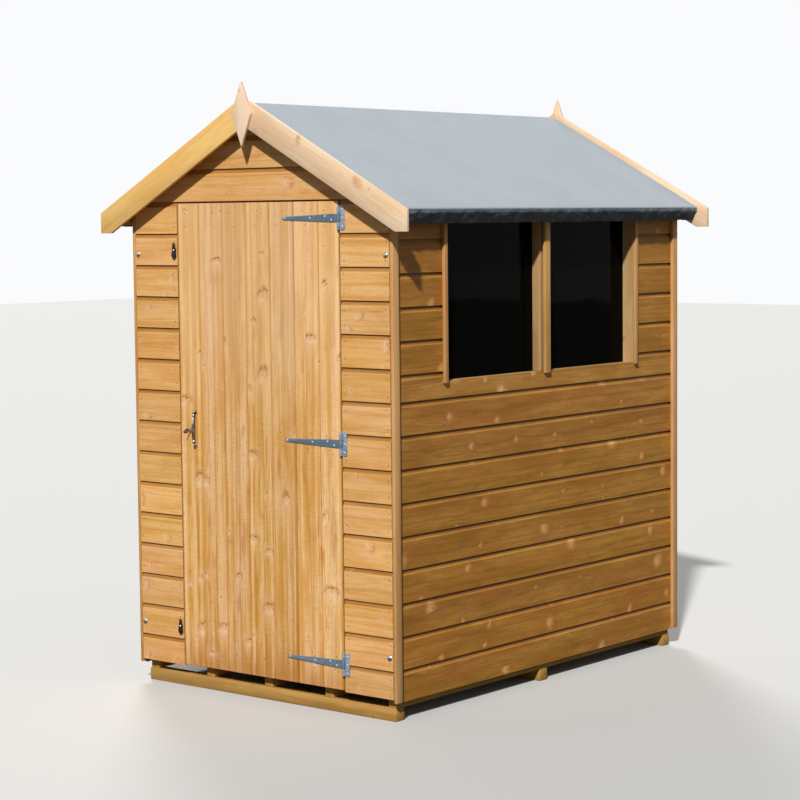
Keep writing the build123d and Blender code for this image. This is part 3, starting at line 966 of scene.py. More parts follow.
def grained(piece: bpy.types.Object, along: Vector, across: Vector, draw: random.Random,
            shade: Callable[[np.ndarray], np.ndarray] | None = None, lift: float = 0.0) -> bpy.types.Object:
    """Gives one board its grain.

    Args:
        piece: The board.
        along: Direction of the grain.
        across: Direction across the board's face.
        draw: Where its random numbers come from.
        shade: From the vertices' places to how dark the joint is there.
        lift: Added to the random numbers, which makes the board paler.

    Returns:
        The board.
    """
    places = places_of(piece)
    if shade is not None:
        write_shade(piece, "joint_shade", shade(places))
    axes = np.array([along, across, across.cross(along)], float)
    middle = (places.min(0) + places.max(0)) / 2
    seeds = np.tile([draw.random() + lift for _ in range(3)], (len(places), 1))
    write_grain(piece, (places - middle) @ axes.T, seeds)
    return piece


def loose_parts(piece: bpy.types.Object) -> list[list[int]]:
    """The vertices of each solid in a piece, in the order of their first vertex."""
    neighbours: dict[int, list[int]] = {v.index: [] for v in piece.data.vertices}
    for edge in piece.data.edges:
        a, b = edge.vertices
        neighbours[a].append(b)
        neighbours[b].append(a)
    seen: set[int] = set()
    groups = []
    for start in neighbours:
        if start in seen:
            continue
        group = [start]
        seen.add(start)
        for here in group:
            for there in neighbours[here]:
                if there not in seen:
                    seen.add(there)
                    group.append(there)
        groups.append(group)
    return groups


def grain_by_length(piece: bpy.types.Object, draw: random.Random) -> None:
    """Runs the grain of every solid in a piece along its longest direction.

    Args:
        piece: The piece.
        draw: Where the random numbers come from.
    """
    places = places_of(piece)
    grain = np.zeros_like(places)
    seeds = np.zeros_like(places)
    for group in loose_parts(piece):
        own = places[group]
        middle = (own.min(0) + own.max(0)) / 2
        _, _, axes = np.linalg.svd(own - own.mean(0), full_matrices=False)
        grain[group] = (own - middle) @ axes.T
        seeds[group] = [draw.random() for _ in range(3)]
    write_grain(piece, grain, seeds)


def dressed(piece: bpy.types.Object, finish: Finish, body: str, nodes: Iterable[str] = ()) -> None:
    """Gives a piece its finish, its body and the frame nodes it stands for.

    Args:
        piece: The finished mesh.
        finish: What it is made of.
        body: The body it moves with.
        nodes: The nodes that it replaces.
    """
    piece.data.materials.clear()
    piece.data.materials.append(finish.material())
    if nodes:
        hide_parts(*nodes)
    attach(piece, body)
    LOG.info("%s: %d faces, on %s", piece.name, len(piece.data.polygons), body)


def worked_copy(node: str, name: str, arris: float, segments: int = 2) -> bpy.types.Object:
    """A frame node's solids as one piece with clean faces and rounded arrises.

    Args:
        node: The frame's node.
        name: The piece's name.
        arris: Width of the rounding.
        segments: Facets of the rounding.

    Returns:
        The piece.
    """
    source = bpy.data.objects[node]
    piece = bpy.data.objects.new(name, source.data.copy())
    piece.data.name = name
    bpy.context.scene.collection.objects.link(piece)
    edit(piece)
    bpy.ops.mesh.remove_doubles(threshold=MERGE_DISTANCE)
    bpy.ops.mesh.dissolve_limited(angle_limit=FLAT_ANGLE)
    bpy.ops.object.mode_set(mode="OBJECT")
    return rounded(piece, arris, segments)


@dataclass
class Timbers:
    """Plain timbers that keep the frame's own shape: framing, trim and base."""

    body: str
    finish: Finish
    slot: str
    nodes: Sequence[str]
    seed: int
    arris: float = ARRIS

    def build(self) -> None:
        """Copies each node with rounded arrises and grain along each timber."""
        draw = random.Random(self.seed)
        for node in self.nodes:
            piece = worked_copy(node, node + "_timber", self.arris)
            grain_by_length(piece, draw)
            dressed(piece, self.finish, self.body, [node])


class Facing(Enum):
    """Which way a wall looks, as the turn of its own axes about the vertical."""

    FRONT = 0.0
    RIGHT = math.pi / 2
    REAR = math.pi
    LEFT = -math.pi / 2


def cove(above_shoulder: float) -> float:
    """Depth of the cove at a height over the shoulder where it starts."""
    radius = (COVE_HEIGHT ** 2 + COVE_DEPTH ** 2) / (2 * COVE_DEPTH)
    below_seat = COVE_HEIGHT - above_shoulder
    return math.sqrt(radius ** 2 - below_seat ** 2) - (radius - COVE_DEPTH)


def domed(name: str, dome: Sequence[tuple[float, float]], radius: float, height: float,
          sides: int) -> bpy.types.Object:
    """A domed head that looks along -Y, its underside at the origin.

    Args:
        name: The piece's name.
        dome: Height and radius along the dome, as shares of the head's.
        radius: Radius of the head.
        height: How far it stands proud.
        sides: Sides of the head.

    Returns:
        The piece.
    """
    return turned(name, [(height * out, radius * size) for out, size in dome], sides)


def nail_head() -> bpy.types.Object:
    """The head of a nail, looking along -Y."""
    return domed("nail", NAIL_DOME, NAIL_RADIUS, NAIL_HEIGHT, NAIL_SIDES)


def turned(name: str, profile: Sequence[tuple[float, float]], sides: int) -> bpy.types.Object:
    """A turned piece whose axis is Y, made by extruding and sizing its face again and again.

    Args:
        name: The piece's name.
        profile: Distance out along -Y and radius there, from the seat outwards.
        sides: Sides of the piece.

    Returns:
        The piece.
    """
    out, radius = profile[0]
    bpy.ops.mesh.primitive_circle_add(vertices=sides, radius=radius, fill_type="NGON",
                                      location=(0.0, -out, 0.0), rotation=(math.pi / 2, 0.0, 0.0))
    piece = begin(name)
    edit(piece)
    for there, size in profile[1:]:
        bpy.ops.mesh.extrude_region_move(TRANSFORM_OT_translate={"value": (0.0, out - there, 0.0)})
        share = size / radius
        bpy.ops.transform.resize(value=(share, 1.0, share), center_override=(0.0, -there, 0.0))
        out, radius = there, size
    close_solid()
    return smoothed(piece, TURNED_DEGREES)


@dataclass
class ShiplapWall:
    """One stretch of coved shiplap, board by board, with its nails, and with painted shade darkening its
    coves.
    """

    node: str
    facing: Facing
    first_lap: float
    fixings: Sequence[float]
    seed: int
    ridge: float | None = None
    finish: Finish = Finish.CLADDING
    # Painted shade in the cove at each listed depth: darker deeper in, where the lip's shade falls.
    painted_cove_shade: tuple[float, ...] = (0.0, 0.62, 0.72, 0.78)
    cove_steps: int = 5
    nail_rows: tuple[float, float] = (0.026, 0.084)
    nail_jitter: tuple[float, float] = (0.003, 0.006)
    nail_under_roof: float = 0.02
    top_lift: float = 0.0

    def build(self) -> None:
        """Builds the boards and the nails, and dresses both."""
        low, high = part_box(self.node)
        turn = Matrix.Rotation(self.facing.value, 4, "Z")
        inner = turn.inverted() @ low
        outer = turn.inverted() @ high
        self.start, self.end = sorted((inner.x, outer.x))
        self.face = min(inner.y, outer.y)
        self.bottom, self.top = low.z, high.z
        self.draw = random.Random(self.seed)
        wall = joined(self._boards(turn), self.node + "_boards")
        dressed(wall, self.finish, "shed", [self.node])
        places = [turn @ Matrix.Translation(place) for place in self._nail_places()]
        nails = scattered(nail_head(), self.node + "_nails", places)
        dressed(nails, Finish.NAIL, "shed")

    def laps(self) -> list[float]:
        """Heights of the lips of the boards that this wall holds."""
        lap = self.first_lap
        while lap + BOARD_COVER <= self.bottom + LAP_GAP:
            lap += BOARD_COVER
        found = []
        while lap < self.top - COVE_DEPTH:
            found.append(lap)
            lap += BOARD_COVER
        return found

    def _section(self) -> list[Vector]:
        """The outline of one board, its lip's front corner at the origin, across X = 0."""
        shoulder = BOARD_COVER - COVE_HEIGHT
        seat = COVE_DEPTH + LAP_GAP
        rebate = FLANGE_HEIGHT + 2 * LAP_GAP
        rises = [COVE_HEIGHT * i / self.cove_steps for i in range(1, self.cove_steps + 1)]
        points = [(LIP_ROUND, LAP_GAP), (0.0, LAP_GAP + LIP_ROUND), (0.0, shoulder)]
        points += [(cove(rise), shoulder + rise) for rise in rises]
        points += [(seat, BOARD_COVER), (seat, BOARD_COVER + FLANGE_HEIGHT),
                   (BOARD_THICKNESS, BOARD_COVER + FLANGE_HEIGHT), (BOARD_THICKNESS, rebate),
                   (COVE_DEPTH, rebate), (COVE_DEPTH, LAP_GAP)]
        return [Vector((0.0, y, z)) for y, z in points]

    def _boards(self, turn: Matrix) -> list[bpy.types.Object]:
        """The wall's boards, sawn to its outline.

        Args:
            turn: From the wall's own axes to the frame's.

        Returns:
            The boards.
        """
        master = draw_and_run("board", self._section(), RIGHT * (self.end - self.start))
        boards = []
        laps = self.laps()
        for lap in laps:
            board = copy_of(master, "board", Matrix.Translation((self.start, self.face, lap)))
            lift = self.top_lift if lap == laps[-1] else 0.0
            grained(board, RIGHT, UP, self.draw, self._joint_shade, lift)
            for place, outward in self._cuts(lap):
                cut_away(board, place, outward)
            board.data.transform(turn)
            boards.append(board)
        bpy.data.objects.remove(master)
        return boards

    def _cuts(self, lap: float) -> list[tuple[Vector, Vector]]:
        """Where a board is sawn: along the wall's foot, its top and the slopes of a gable.

        Args:
            lap: Height of the board's lip.

        Returns:
            For each cut, a point on it and its normal towards the waste.
        """
        cuts = []
        top = lap + BOARD_COVER + FLANGE_HEIGHT
        if lap < self.bottom:
            cuts.append((UP * self.bottom, -UP))
        if top > self.top:
            cuts.append((UP * self.top, UP))
        if self.ridge is not None and top > self.ridge - max(-self.start, self.end) * math.tan(ROOF_PITCH):
            cuts += [(UP * self.ridge, off_slope(side)) for side, _ in SIDES]
        return cuts

    def _joint_shade(self, places: np.ndarray) -> np.ndarray:
        """How dark the painted shade stands in the cove, by depth behind the wall's face; below nought it
        paints a highlight.
        """
        return np.interp(places[:, 1] - self.face, COVE_SHADE_DEPTHS, self.painted_cove_shade)

    def _nail_places(self) -> list[Vector]:
        """Two nails a board at each stud, as far as they lie well inside the wall's outline."""
        places = []
        edge = 2 * NAIL_RADIUS
        side_jitter, up_jitter = self.nail_jitter
        for lap in self.laps():
            for along in self.fixings:
                for row in self.nail_rows:
                    x = along + self.draw.uniform(-side_jitter, side_jitter)
                    z = lap + row + self.draw.uniform(-up_jitter, up_jitter)
                    top = self.top - edge
                    if self.ridge is not None:
                        top = min(top, self.ridge - abs(x) * math.tan(ROOF_PITCH) - self.nail_under_roof)
                    if self.start + edge < x < self.end - edge and self.bottom + edge < z < top:
                        places.append(Vector((x, self.face, z)))
        return places


class Joint(Enum):
    """How neighbouring boards meet, as the depth of the V cut along their edges."""

    V_JOINT = 0.003
    SQUARE = 0.0004


@dataclass
class BoardField:
    """A flat field of tongued and grooved boards, worn pale beside their stained joints where it is said."""

    name: str
    corner: Vector
    along: Vector
    across: Vector
    inward: Vector
    length: float
    width: float
    thickness: float
    joint: Joint
    seed: int
    first_width: float = BOARD_COVER
    gap: float = 0.0004
    tongue: float = 0.004
    tongue_from: float = 0.0045
    tongue_to: float = 0.0078
    back_round: float = 0.0
    round_steps: int = 5
    worn: bool = False
    worn_places: tuple[float, ...] = (0.0, 0.003, 0.0065, 0.014, 0.024)
    worn_shades: tuple[float, ...] = (0.65, 0.12, -0.10, -0.15, 0.0)

    def build(self) -> bpy.types.Object:
        """Builds the boards side by side.

        Returns:
            The field as one piece.
        """
        draw = random.Random(self.seed)
        boards = []
        place = 0.0
        step = self.first_width
        while place < self.width - self.gap:
            end = min(place + step, self.width)
            outline = [self._point(x, y) for x, y in self._section(place, end)]
            board = draw_and_run("board", outline, self.along * self.length)
            shade = self._wear(place, end) if self.worn else None
            boards.append(grained(board, self.along, self.across, draw, shade))
            place = end
            step = BOARD_COVER
        return joined(boards, self.name)

    def _wear(self, start: float, end: float) -> Callable[[np.ndarray], np.ndarray]:
        """Dark stain in a board's V joints, and its face worn pale beside them.

        Args:
            start: Where the board starts across the field.
            end: Where it ends.

        Returns:
            From the vertices' places to the shade there.
        """
        def shade(places: np.ndarray) -> np.ndarray:
            """The shade by distance from the board's nearer edge."""
            across = (places - np.array(self.corner)) @ np.array(self.across)
            return np.interp(np.minimum(across - start, end - across), self.worn_places, self.worn_shades)
        return shade

    def _point(self, across: float, deep: float) -> Vector:
        """A point of the section in the frame's axes."""
        return self.corner + self.across * across + self.inward * deep

    def _section(self, start: float, end: float) -> list[tuple[float, float]]:
        """One board's outline.

        Args:
            start: Where the board starts across the field.
            end: Where it ends.

        Returns:
            Pairs of place across and depth.
        """
        first = start == 0.0
        last = end >= self.width
        v_start = ARRIS if first else self.joint.value
        v_end = ARRIS if last else self.joint.value
        end -= 0.0 if last else self.gap
        points = [(start + v_start, 0.0), (start, v_start)]
        if not first:
            groove = self.tongue + self.gap
            points += [(start, self.tongue_from - self.gap), (start + groove, self.tongue_from - self.gap),
                       (start + groove, self.tongue_to + self.gap), (start, self.tongue_to + self.gap)]
        if first and self.back_round:
            angles = [math.pi / 2 * i / self.round_steps for i in range(self.round_steps + 1)]
            points += [(start + self.back_round * (1 - math.cos(angle)),
                        self.thickness - self.back_round * (1 - math.sin(angle))) for angle in angles]
        else:
            points.append((start, self.thickness))
        points.append((end, self.thickness))
        if not last:
            points += [(end, self.tongue_to), (end + self.tongue, self.tongue_to),
                       (end + self.tongue, self.tongue_from), (end, self.tongue_from)]
        points += [(end, v_end), (end - v_end, 0.0)]
        if self.worn:
            on_face = self.worn_places[2:]
            points += [(end - inset, 0.0) for inset in on_face]
            points += [(start + inset, 0.0) for inset in reversed(on_face)]
        return points


@dataclass
class BoardedDoor:
    """The door's vertical boards, its ledges and braces, and their nails."""

    first_width: float = 0.102
    ledge_rows: float = 0.024
    nail_jitter: tuple[float, float] = (0.02, 0.004)
    seed: int = 7

    def build(self) -> None:
        """Builds the boards, the ledges and the nails."""
        low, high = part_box("door_boards")
        boards = BoardField("door_tongued_boards", low, UP, RIGHT, BACK, high.z - low.z, high.x - low.x,
                            high.y - low.y, Joint.V_JOINT, self.seed, self.first_width, worn=True)
        dressed(boards.build(), Finish.DOOR, "door", ["door_boards"])
        Timbers("door", Finish.DOOR, "door_timber", ["door_ledges", "door_braces"], self.seed).build()
        self._nails(low, high)

    def _nails(self, low: Vector, high: Vector) -> None:
        """Nails through each board into each ledge.

        Args:
            low: The boards' lowest corner.
            high: Their highest corner.
        """
        draw = random.Random(self.seed)
        heights = []
        for bottom, top in loose_boxes("door_ledges"):
            middle = (bottom.z + top.z) / 2
            heights += [middle - self.ledge_rows, middle + self.ledge_rows]
        edge = low.x + self.first_width
        columns = [(low.x + edge) / 2]
        while edge < high.x:
            columns.append((edge + min(edge + BOARD_COVER, high.x)) / 2)
            edge += BOARD_COVER
        places = []
        side_jitter, up_jitter = self.nail_jitter
        for x in columns:
            for z in heights:
                aside = draw.uniform(-side_jitter, side_jitter)
                places.append(Matrix.Translation((x + aside, low.y, z + draw.uniform(-up_jitter, up_jitter))))
        dressed(scattered(nail_head(), "door_nails", places), Finish.NAIL, "door")


def loose_boxes(node: str) -> list[tuple[Vector, Vector]]:
    """The box of each solid in a frame node, the lowest first."""
    source = bpy.data.objects[node]
    solid = bpy.data.meshes.new("scratch")
    shape = bmesh.new()
    shape.from_mesh(source.data)
    bmesh.ops.remove_doubles(shape, verts=shape.verts, dist=MERGE_DISTANCE)
    shape.to_mesh(solid)
    shape.free()
    holder = bpy.data.objects.new("scratch", solid)
    places = places_of(holder)
    boxes = [(Vector(places[g].min(0)), Vector(places[g].max(0))) for g in loose_parts(holder)]
    bpy.data.objects.remove(holder)
    bpy.data.meshes.remove(solid)
    return sorted(boxes, key=lambda box: (round(box[0].z, 4), round(box[0].x, 4)))


@dataclass
class FeltRoof:
    """Mineral felt on both slopes, folded over the eaves with the creases of a hand-laid sheet."""

    thickness: float = 0.0025
    fold_depth: float = 0.056
    corner_round: float = 0.005
    corner_steps: int = 5
    lean_depth: float = 0.016
    lean: float = math.radians(13)
    tuck: float = math.radians(2.5)
    fold_steps: int = 12
    rows: int = 300
    columns: int = 16
    crease: float = 0.018
    crease_length: float = 0.045
    slope_slack: float = 0.12
    crease_level: float = 0.36
    crease_least: float = 0.55
    crease_reach: float = 0.25
    shade_depth: float = 0.0256
    smooth_degrees: float = 60.0
    clout_spacing: float = 0.19
    clout_depth: float = 0.036
    clout_radius: float = 0.0045
    clout_height: float = 0.0012
    clout_sides: int = 12

    def build(self) -> None:
        """Builds the two sheets and the clout nails along their folds."""
        clouts = []
        master = domed("clout", NAIL_DOME, self.clout_radius, self.clout_height, self.clout_sides)
        for side, name in SIDES:
            node = "roof_felt_" + name
            low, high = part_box(node)
            reach = (high.x if side > 0 else -low.x) + round_setback(FELT_BEND)
            self.down = down_slope(side)
            self.inward = -off_slope(side)
            self.top = Vector((0.0, (low.y + high.y) / 2, high.z))
            self.run = reach / math.cos(ROOF_PITCH)
            self.half = (high.y - low.y) / 2
            dressed(self._sheet(side, node + "_sheet"), Finish.FELT, "shed", [node])
            turn = Matrix.Rotation(side * math.pi / 2, 4, "Z") @ Matrix.Rotation(-ROOF_PITCH, 4, "X")
            place = self.top + self.down * self.run + self.inward * self.clout_depth
            count = int(2 * self.half / self.clout_spacing)
            for i in range(count + 1):
                aside = BACK * ((i - count / 2) * self.clout_spacing)
                clouts.append(copy_of(master, "clout", Matrix.Translation(place + aside) @ turn))
        bpy.data.objects.remove(master)
        dressed(joined(clouts, "felt_clouts"), Finish.BLACK, "shed")

    def _sheet(self, side: int, name: str) -> bpy.types.Object:
        """One slope's felt.

        Args:
            side: 1 for the right slope, -1 for the left.
            name: The piece's name.

        Returns:
            The sheet.
        """
        brow = self.run - self.lean_depth * math.tan(self.lean)
        flat = brow - self.corner_round * math.tan((math.pi / 2 - self.lean) / 2)
        bpy.ops.mesh.primitive_grid_add(x_subdivisions=self.columns, y_subdivisions=self.rows, size=1.0,
                                        location=self.top + self.down * flat / 2,
                                        rotation=(0.0, side * ROOF_PITCH, 0.0))
        sheet = begin(name, (flat, 2 * self.half, 1.0))
        self._fold(sheet, flat)
        self._crease(sheet)
        solid = sheet.modifiers.new("thickness", "SOLIDIFY")
        solid.thickness = self.thickness
        solid.offset = -1.0
        apply(sheet, solid)
        return smoothed(sheet, self.smooth_degrees)

    def _fold(self, sheet: bpy.types.Object, flat: float) -> None:
        """Turns the sheet down over the eave, round a soft corner.

        Args:
            sheet: The flat sheet.
            flat: Its length down the slope.
        """
        edit(sheet)
        bpy.ops.mesh.select_all(action="DESELECT")
        shape = bmesh.from_edit_mesh(sheet.data)
        for edge in shape.edges:
            nearest = min((v.co - self.top).dot(self.down) for v in edge.verts)
            edge.select = nearest > flat - 10 * MERGE_DISTANCE
        bmesh.update_edit_mesh(sheet.data)
        profile = self._eave_profile(flat)
        for here, there in zip(profile, profile[1:]):
            step = self.down * (there[0] - here[0]) + self.inward * (there[1] - here[1])
            bpy.ops.mesh.extrude_region_move(TRANSFORM_OT_translate={"value": step})
        close_solid()
        if sheet.data.polygons[0].normal.dot(self.inward) > 0:
            sheet.data.flip_normals()

    def _eave_profile(self, flat: float) -> list[tuple[float, float]]:
        """The bend over the roof boards' edge, leaning out, and the band tucked in under it.

        Args:
            flat: Where the bend starts, down the slope.

        Returns:
            Pairs of place down the slope and depth under the felt's face.
        """
        turn = math.pi / 2 - self.lean
        angles = [turn * i / self.corner_steps for i in range(self.corner_steps + 1)]
        points = [(flat + self.corner_round * math.sin(angle), self.corner_round * (1 - math.cos(angle)))
                  for angle in angles]
        start = points[-1][1]
        for i in range(1, self.fold_steps + 1):
            depth = start + (self.fold_depth - start) * i / self.fold_steps
            above = max(self.lean_depth - depth, 0.0)
            below = max(depth - self.lean_depth, 0.0)
            points.append((self.run - above * math.tan(self.lean) - below * math.tan(self.tuck), depth))
        return points

    def _crease(self, sheet: bpy.types.Object) -> None:
        """Creases the fold, most near its ends, and leaves the slope a little slack.

        Args:
            sheet: The folded sheet.
        """
        places = places_of(sheet) - np.array(self.top)
        depth = places @ np.array(self.inward)
        along = places @ np.array(self.down)
        from_end = self.half - np.abs(places[:, 1])
        ends = self.crease_least + (1.0 - self.crease_least) * np.exp(-(from_end / self.crease_reach) ** 2)
        fold = np.clip(depth / self.lean_depth, 0.0, 1.0) * ends
        slack = np.clip(along / self.run, 0.0, 1.0) * self.slope_slack
        group = sheet.vertex_groups.new(name="fold")
        for index, weight in enumerate(np.maximum(fold, slack)):
            group.add([index], float(weight), "REPLACE")
        write_shade(sheet, "fold_share", np.clip(depth / self.shade_depth, 0.0, 1.0))
        texture = bpy.data.textures.new("felt_creases", "CLOUDS")
        texture.noise_scale = self.crease_length
        texture.noise_depth = 2
        ripple = sheet.modifiers.new("creases", "DISPLACE")
        ripple.texture = texture
        ripple.texture_coords = "LOCAL"
        ripple.strength = self.crease
        ripple.mid_level = self.crease_level
        ripple.vertex_group = group.name
        apply(sheet, ripple)


def cross_head_screw(name: str, radius: float, height: float) -> bpy.types.Object:
    """A pan-head screw with a cross recess, looking along -Y.

    Args:
        name: The piece's name.
        radius: Radius of the head.
        height: Height of the head.

    Returns:
        The piece.
    """
    screw = domed(name, SCREW_DOME, radius, height, SCREW_SIDES)
    length, width = (radius * share for share in SCREW_RECESS)
    for size in ((length, height, width), (width, height, length)):
        bpy.ops.mesh.primitive_cube_add(size=1.0, location=(0.0, -height, 0.0))
        cutter = begin("slot", size)
        recess = screw.modifiers.new("recess", "BOOLEAN")
        recess.operation = "DIFFERENCE"
        recess.object = cutter
        apply(screw, recess)
        bpy.data.objects.remove(cutter)
    return screw


@dataclass
class DoorHinges:
    """Three galvanised T hinges and their screws."""

    strap_screws: tuple[tuple[float, float], ...] = ((-0.2455, 0.0), (-0.1305, 0.0), (-0.0625, 0.005),
                                                     (-0.0335, -0.006))
    plate_screws: tuple[tuple[float, float], ...] = ((0.0145, -0.029), (0.0145, 0.0), (0.0145, 0.027))
    leaf_thickness: float = 0.0025
    leaf_arris: float = 0.0005
    knuckle_radius: float = 0.005
    screw_radius: float = 0.0042
    screw_height: float = 0.0014

    def build(self) -> None:
        """Builds the leaves and the screws in them."""
        for node, body, finish in (("hinge_straps", "door", Finish.STRAP),
                                   ("hinge_plates", "shed", Finish.PLATE)):
            leaf = worked_copy(node, node + "_steel", self.leaf_arris)
            dressed(leaf, finish, body, [node])
        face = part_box("door_boards")[0].y - self.leaf_thickness
        pins = [(high.x - self.knuckle_radius, (low.z + high.z) / 2)
                for low, high in loose_boxes("hinge_straps")]
        for name, body, screws in (("strap_screws", "door", self.strap_screws),
                                   ("plate_screws", "shed", self.plate_screws)):
            master = cross_head_screw("screw", self.screw_radius, self.screw_height)
            places = [Matrix.Translation((pin + x, face, z + up)) for pin, z in pins for x, up in screws]
            dressed(scattered(master, name, places), Finish.SCREW, body)


@dataclass
class PullHandle:
    """A bright shallow bow with two turned beads at each end, on flat roses."""

    rose_radius: float = 0.008
    rose_top_radius: float = 0.00688
    rose_thickness: float = 0.0015
    rose_sides: int = 20
    knob_radius: float = 0.0062
    knob_reach: float = 0.0065
    bead_radius: float = 0.0058
    bead_drop: float = 0.014
    neck_radius: float = 0.0034
    end_radius: float = 0.0042
    middle_radius: float = 0.0046
    cap: float = 0.005952
    steps: int = 76
    sides: int = 16
    smooth_degrees: float = 45.0

    def build(self) -> None:
        """Builds the bow and its roses as one piece."""
        low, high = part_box("door_handle")
        x = (low.x + high.x) / 2
        face = high.y
        half = (high.z - low.z) / 2 - self.rose_radius
        knob_y = face - self.knob_reach
        crown_y = low.y + self.middle_radius
        rise = knob_y - crown_y
        radius = (half * half + rise * rise) / (2 * rise)
        centre = Vector((x, crown_y + radius, (low.z + high.z) / 2))
        bow = self._bow(centre, radius, math.asin(half / radius))
        profile = [(0.0, self.rose_radius), (self.rose_thickness / 2, self.rose_radius),
                   (self.rose_thickness, self.rose_top_radius), (self.rose_thickness, self.neck_radius),
                   (self.knob_reach, self.neck_radius)]
        ends = [Matrix.Translation((x, face, centre.z + sign * half)) for sign in (-1, 1)]
        roses = scattered(turned("rose", profile, self.rose_sides), "roses", ends)
        handle = smoothed(joined([bow, roses], "pull_handle"), self.smooth_degrees)
        dressed(handle, Finish.CHROME, "door", ["door_handle"])

    def _radius_at(self, place: float, length: float) -> float:
        """The bow's thickness along its arc: knob, neck, bead, neck, then a swelling rod.

        Args:
            place: Distance along the arc.
            length: Length of the arc.

        Returns:
            The radius there.
        """
        near = min(place, length - place)
        if near <= 0:
            rod = 0.0
        elif near < self.bead_drop + self.bead_radius:
            rod = self.neck_radius
        else:
            swell = math.sin(math.pi * place / length)
            rod = self.end_radius + (self.middle_radius - self.end_radius) * swell
        sizes = [rod]
        for middle, size in ((0.0, self.knob_radius), (self.bead_drop, self.bead_radius)):
            off = near - middle
            if abs(off) < size:
                sizes.append(math.sqrt(size * size - off * off))
        return max(sizes)

    def _bow(self, centre: Vector, radius: float, swing: float) -> bpy.types.Object:
        """The bow, spun from a circle and then turned to its beads ring by ring.

        Args:
            centre: Centre of the bow's arc.
            radius: Radius of the arc.
            swing: Half the arc's angle.

        Returns:
            The bow.
        """
        first = -swing - self.cap / radius
        span = -2 * first
        start = centre + Vector((0.0, -radius * math.cos(first), radius * math.sin(first)))
        bpy.ops.mesh.primitive_circle_add(vertices=self.sides, radius=self.neck_radius, fill_type="NGON",
                                          location=start, rotation=(-first, 0.0, 0.0))
        bow = begin("bow")
        edit(bow)
        bpy.ops.mesh.spin(steps=self.steps, angle=span, center=centre, axis=(1.0, 0.0, 0.0))
        bpy.ops.mesh.select_all(action="SELECT")
        bpy.ops.mesh.remove_doubles(threshold=MERGE_DISTANCE)
        bpy.ops.mesh.normals_make_consistent(inside=False)
        shape = bmesh.from_edit_mesh(bow.data)
        reach = self.neck_radius + 2 * MERGE_DISTANCE
        for step in range(self.steps + 1):
            angle = first + span * step / self.steps
            ring = centre + Vector((0.0, -radius * math.cos(angle), radius * math.sin(angle)))
            tangent = Vector((0.0, math.sin(angle), math.cos(angle)))
            for vertex in shape.verts:
                off = vertex.co - ring
                vertex.select = off.length < reach and abs(off.dot(tangent)) < MERGE_DISTANCE * 10
            shape.select_flush_mode()
            bmesh.update_edit_mesh(bow.data)
            size = self._radius_at(radius * (angle + swing), 2 * radius * swing) / self.neck_radius
            bpy.ops.transform.resize(value=(size, size, size), center_override=ring)
        bpy.ops.object.mode_set(mode="OBJECT")
        return bow


@dataclass
class LockAndButtons:
    """The key in its lock, the lock case inside and the two black turn buttons."""

    key_arris: float = 0.0004
    case_arris: float = 0.0015
    button_arris: float = 0.0008
    round_segments: int = 3
    head_height: float = 0.0022
    head_back: float = 0.0023
    stem_radius: float = 0.0024
    stem_sides: int = 12

    def build(self) -> None:
        """Builds the small ironwork."""
        key = worked_copy("door_key", "door_key_steel", self.key_arris)
        dressed(key, Finish.KEY, "door", ["door_key"])
        case = worked_copy("lock_case", "lock_case_steel", self.case_arris, self.round_segments)
        dressed(case, Finish.BLACK, "door", ["lock_case"])
        for name in ("upper_turn_button", "lower_turn_button"):
            button = worked_copy(name, name + "_steel", self.button_arris, self.round_segments)
            dressed(button, Finish.BLACK, name, [name])
        screws = [part for box in loose_boxes("button_screws") for part in self._screw(*box)]
        both = joined(screws, "turn_button_screws")
        dressed(both, Finish.BOLT, "shed", ["button_screws"])

    def _screw(self, low: Vector, high: Vector) -> list[bpy.types.Object]:
        """The screw that a turn button swings on.

        Args:
            low: The lowest corner of the screw's box.
            high: Its highest corner.

        Returns:
            The head and the stem.
        """
        x, z = (low.x + high.x) / 2, (low.z + high.z) / 2
        head = cross_head_screw("screw", (high.x - low.x) / 2, self.head_height)
        head.data.transform(Matrix.Translation((x, low.y + self.head_back, z)))
        profile = [(0.0, self.stem_radius), (high.y - low.y - self.head_back, self.stem_radius)]
        stem = turned("stem", profile, self.stem_sides)
        stem.data.transform(Matrix.Translation((x, high.y, z)))
        return [head, stem]


@dataclass
class CoachBolts:
    """Domed bolt heads that hold the walls together at the corners."""

    inset: float = 0.0135
    heights: tuple[float, float] = (0.220, 1.558)
    profile: tuple[tuple[float, float], ...] = ((0.0, 0.0105), (0.0012, 0.0105), (0.0034, 0.0090),
                                                (0.0048, 0.0064), (0.0056, 0.0030))
    sides: int = 24

    def build(self) -> None:
        """Builds the bolts on the front and back walls."""
        low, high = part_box("rear_cladding")
        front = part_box("front_cladding_left")[0].y
        about = Matrix.Rotation(math.pi, 4, "Z")
        places = []
        for z in self.heights:
            for x in (low.x + self.inset, high.x - self.inset):
                places.append(Matrix.Translation((x, front, z)))
                places.append(Matrix.Translation((x, high.y, z)) @ about)
        bolts = scattered(turned("bolt", self.profile, self.sides), "coach_bolts", places)
        dressed(bolts, Finish.BOLT, "shed")


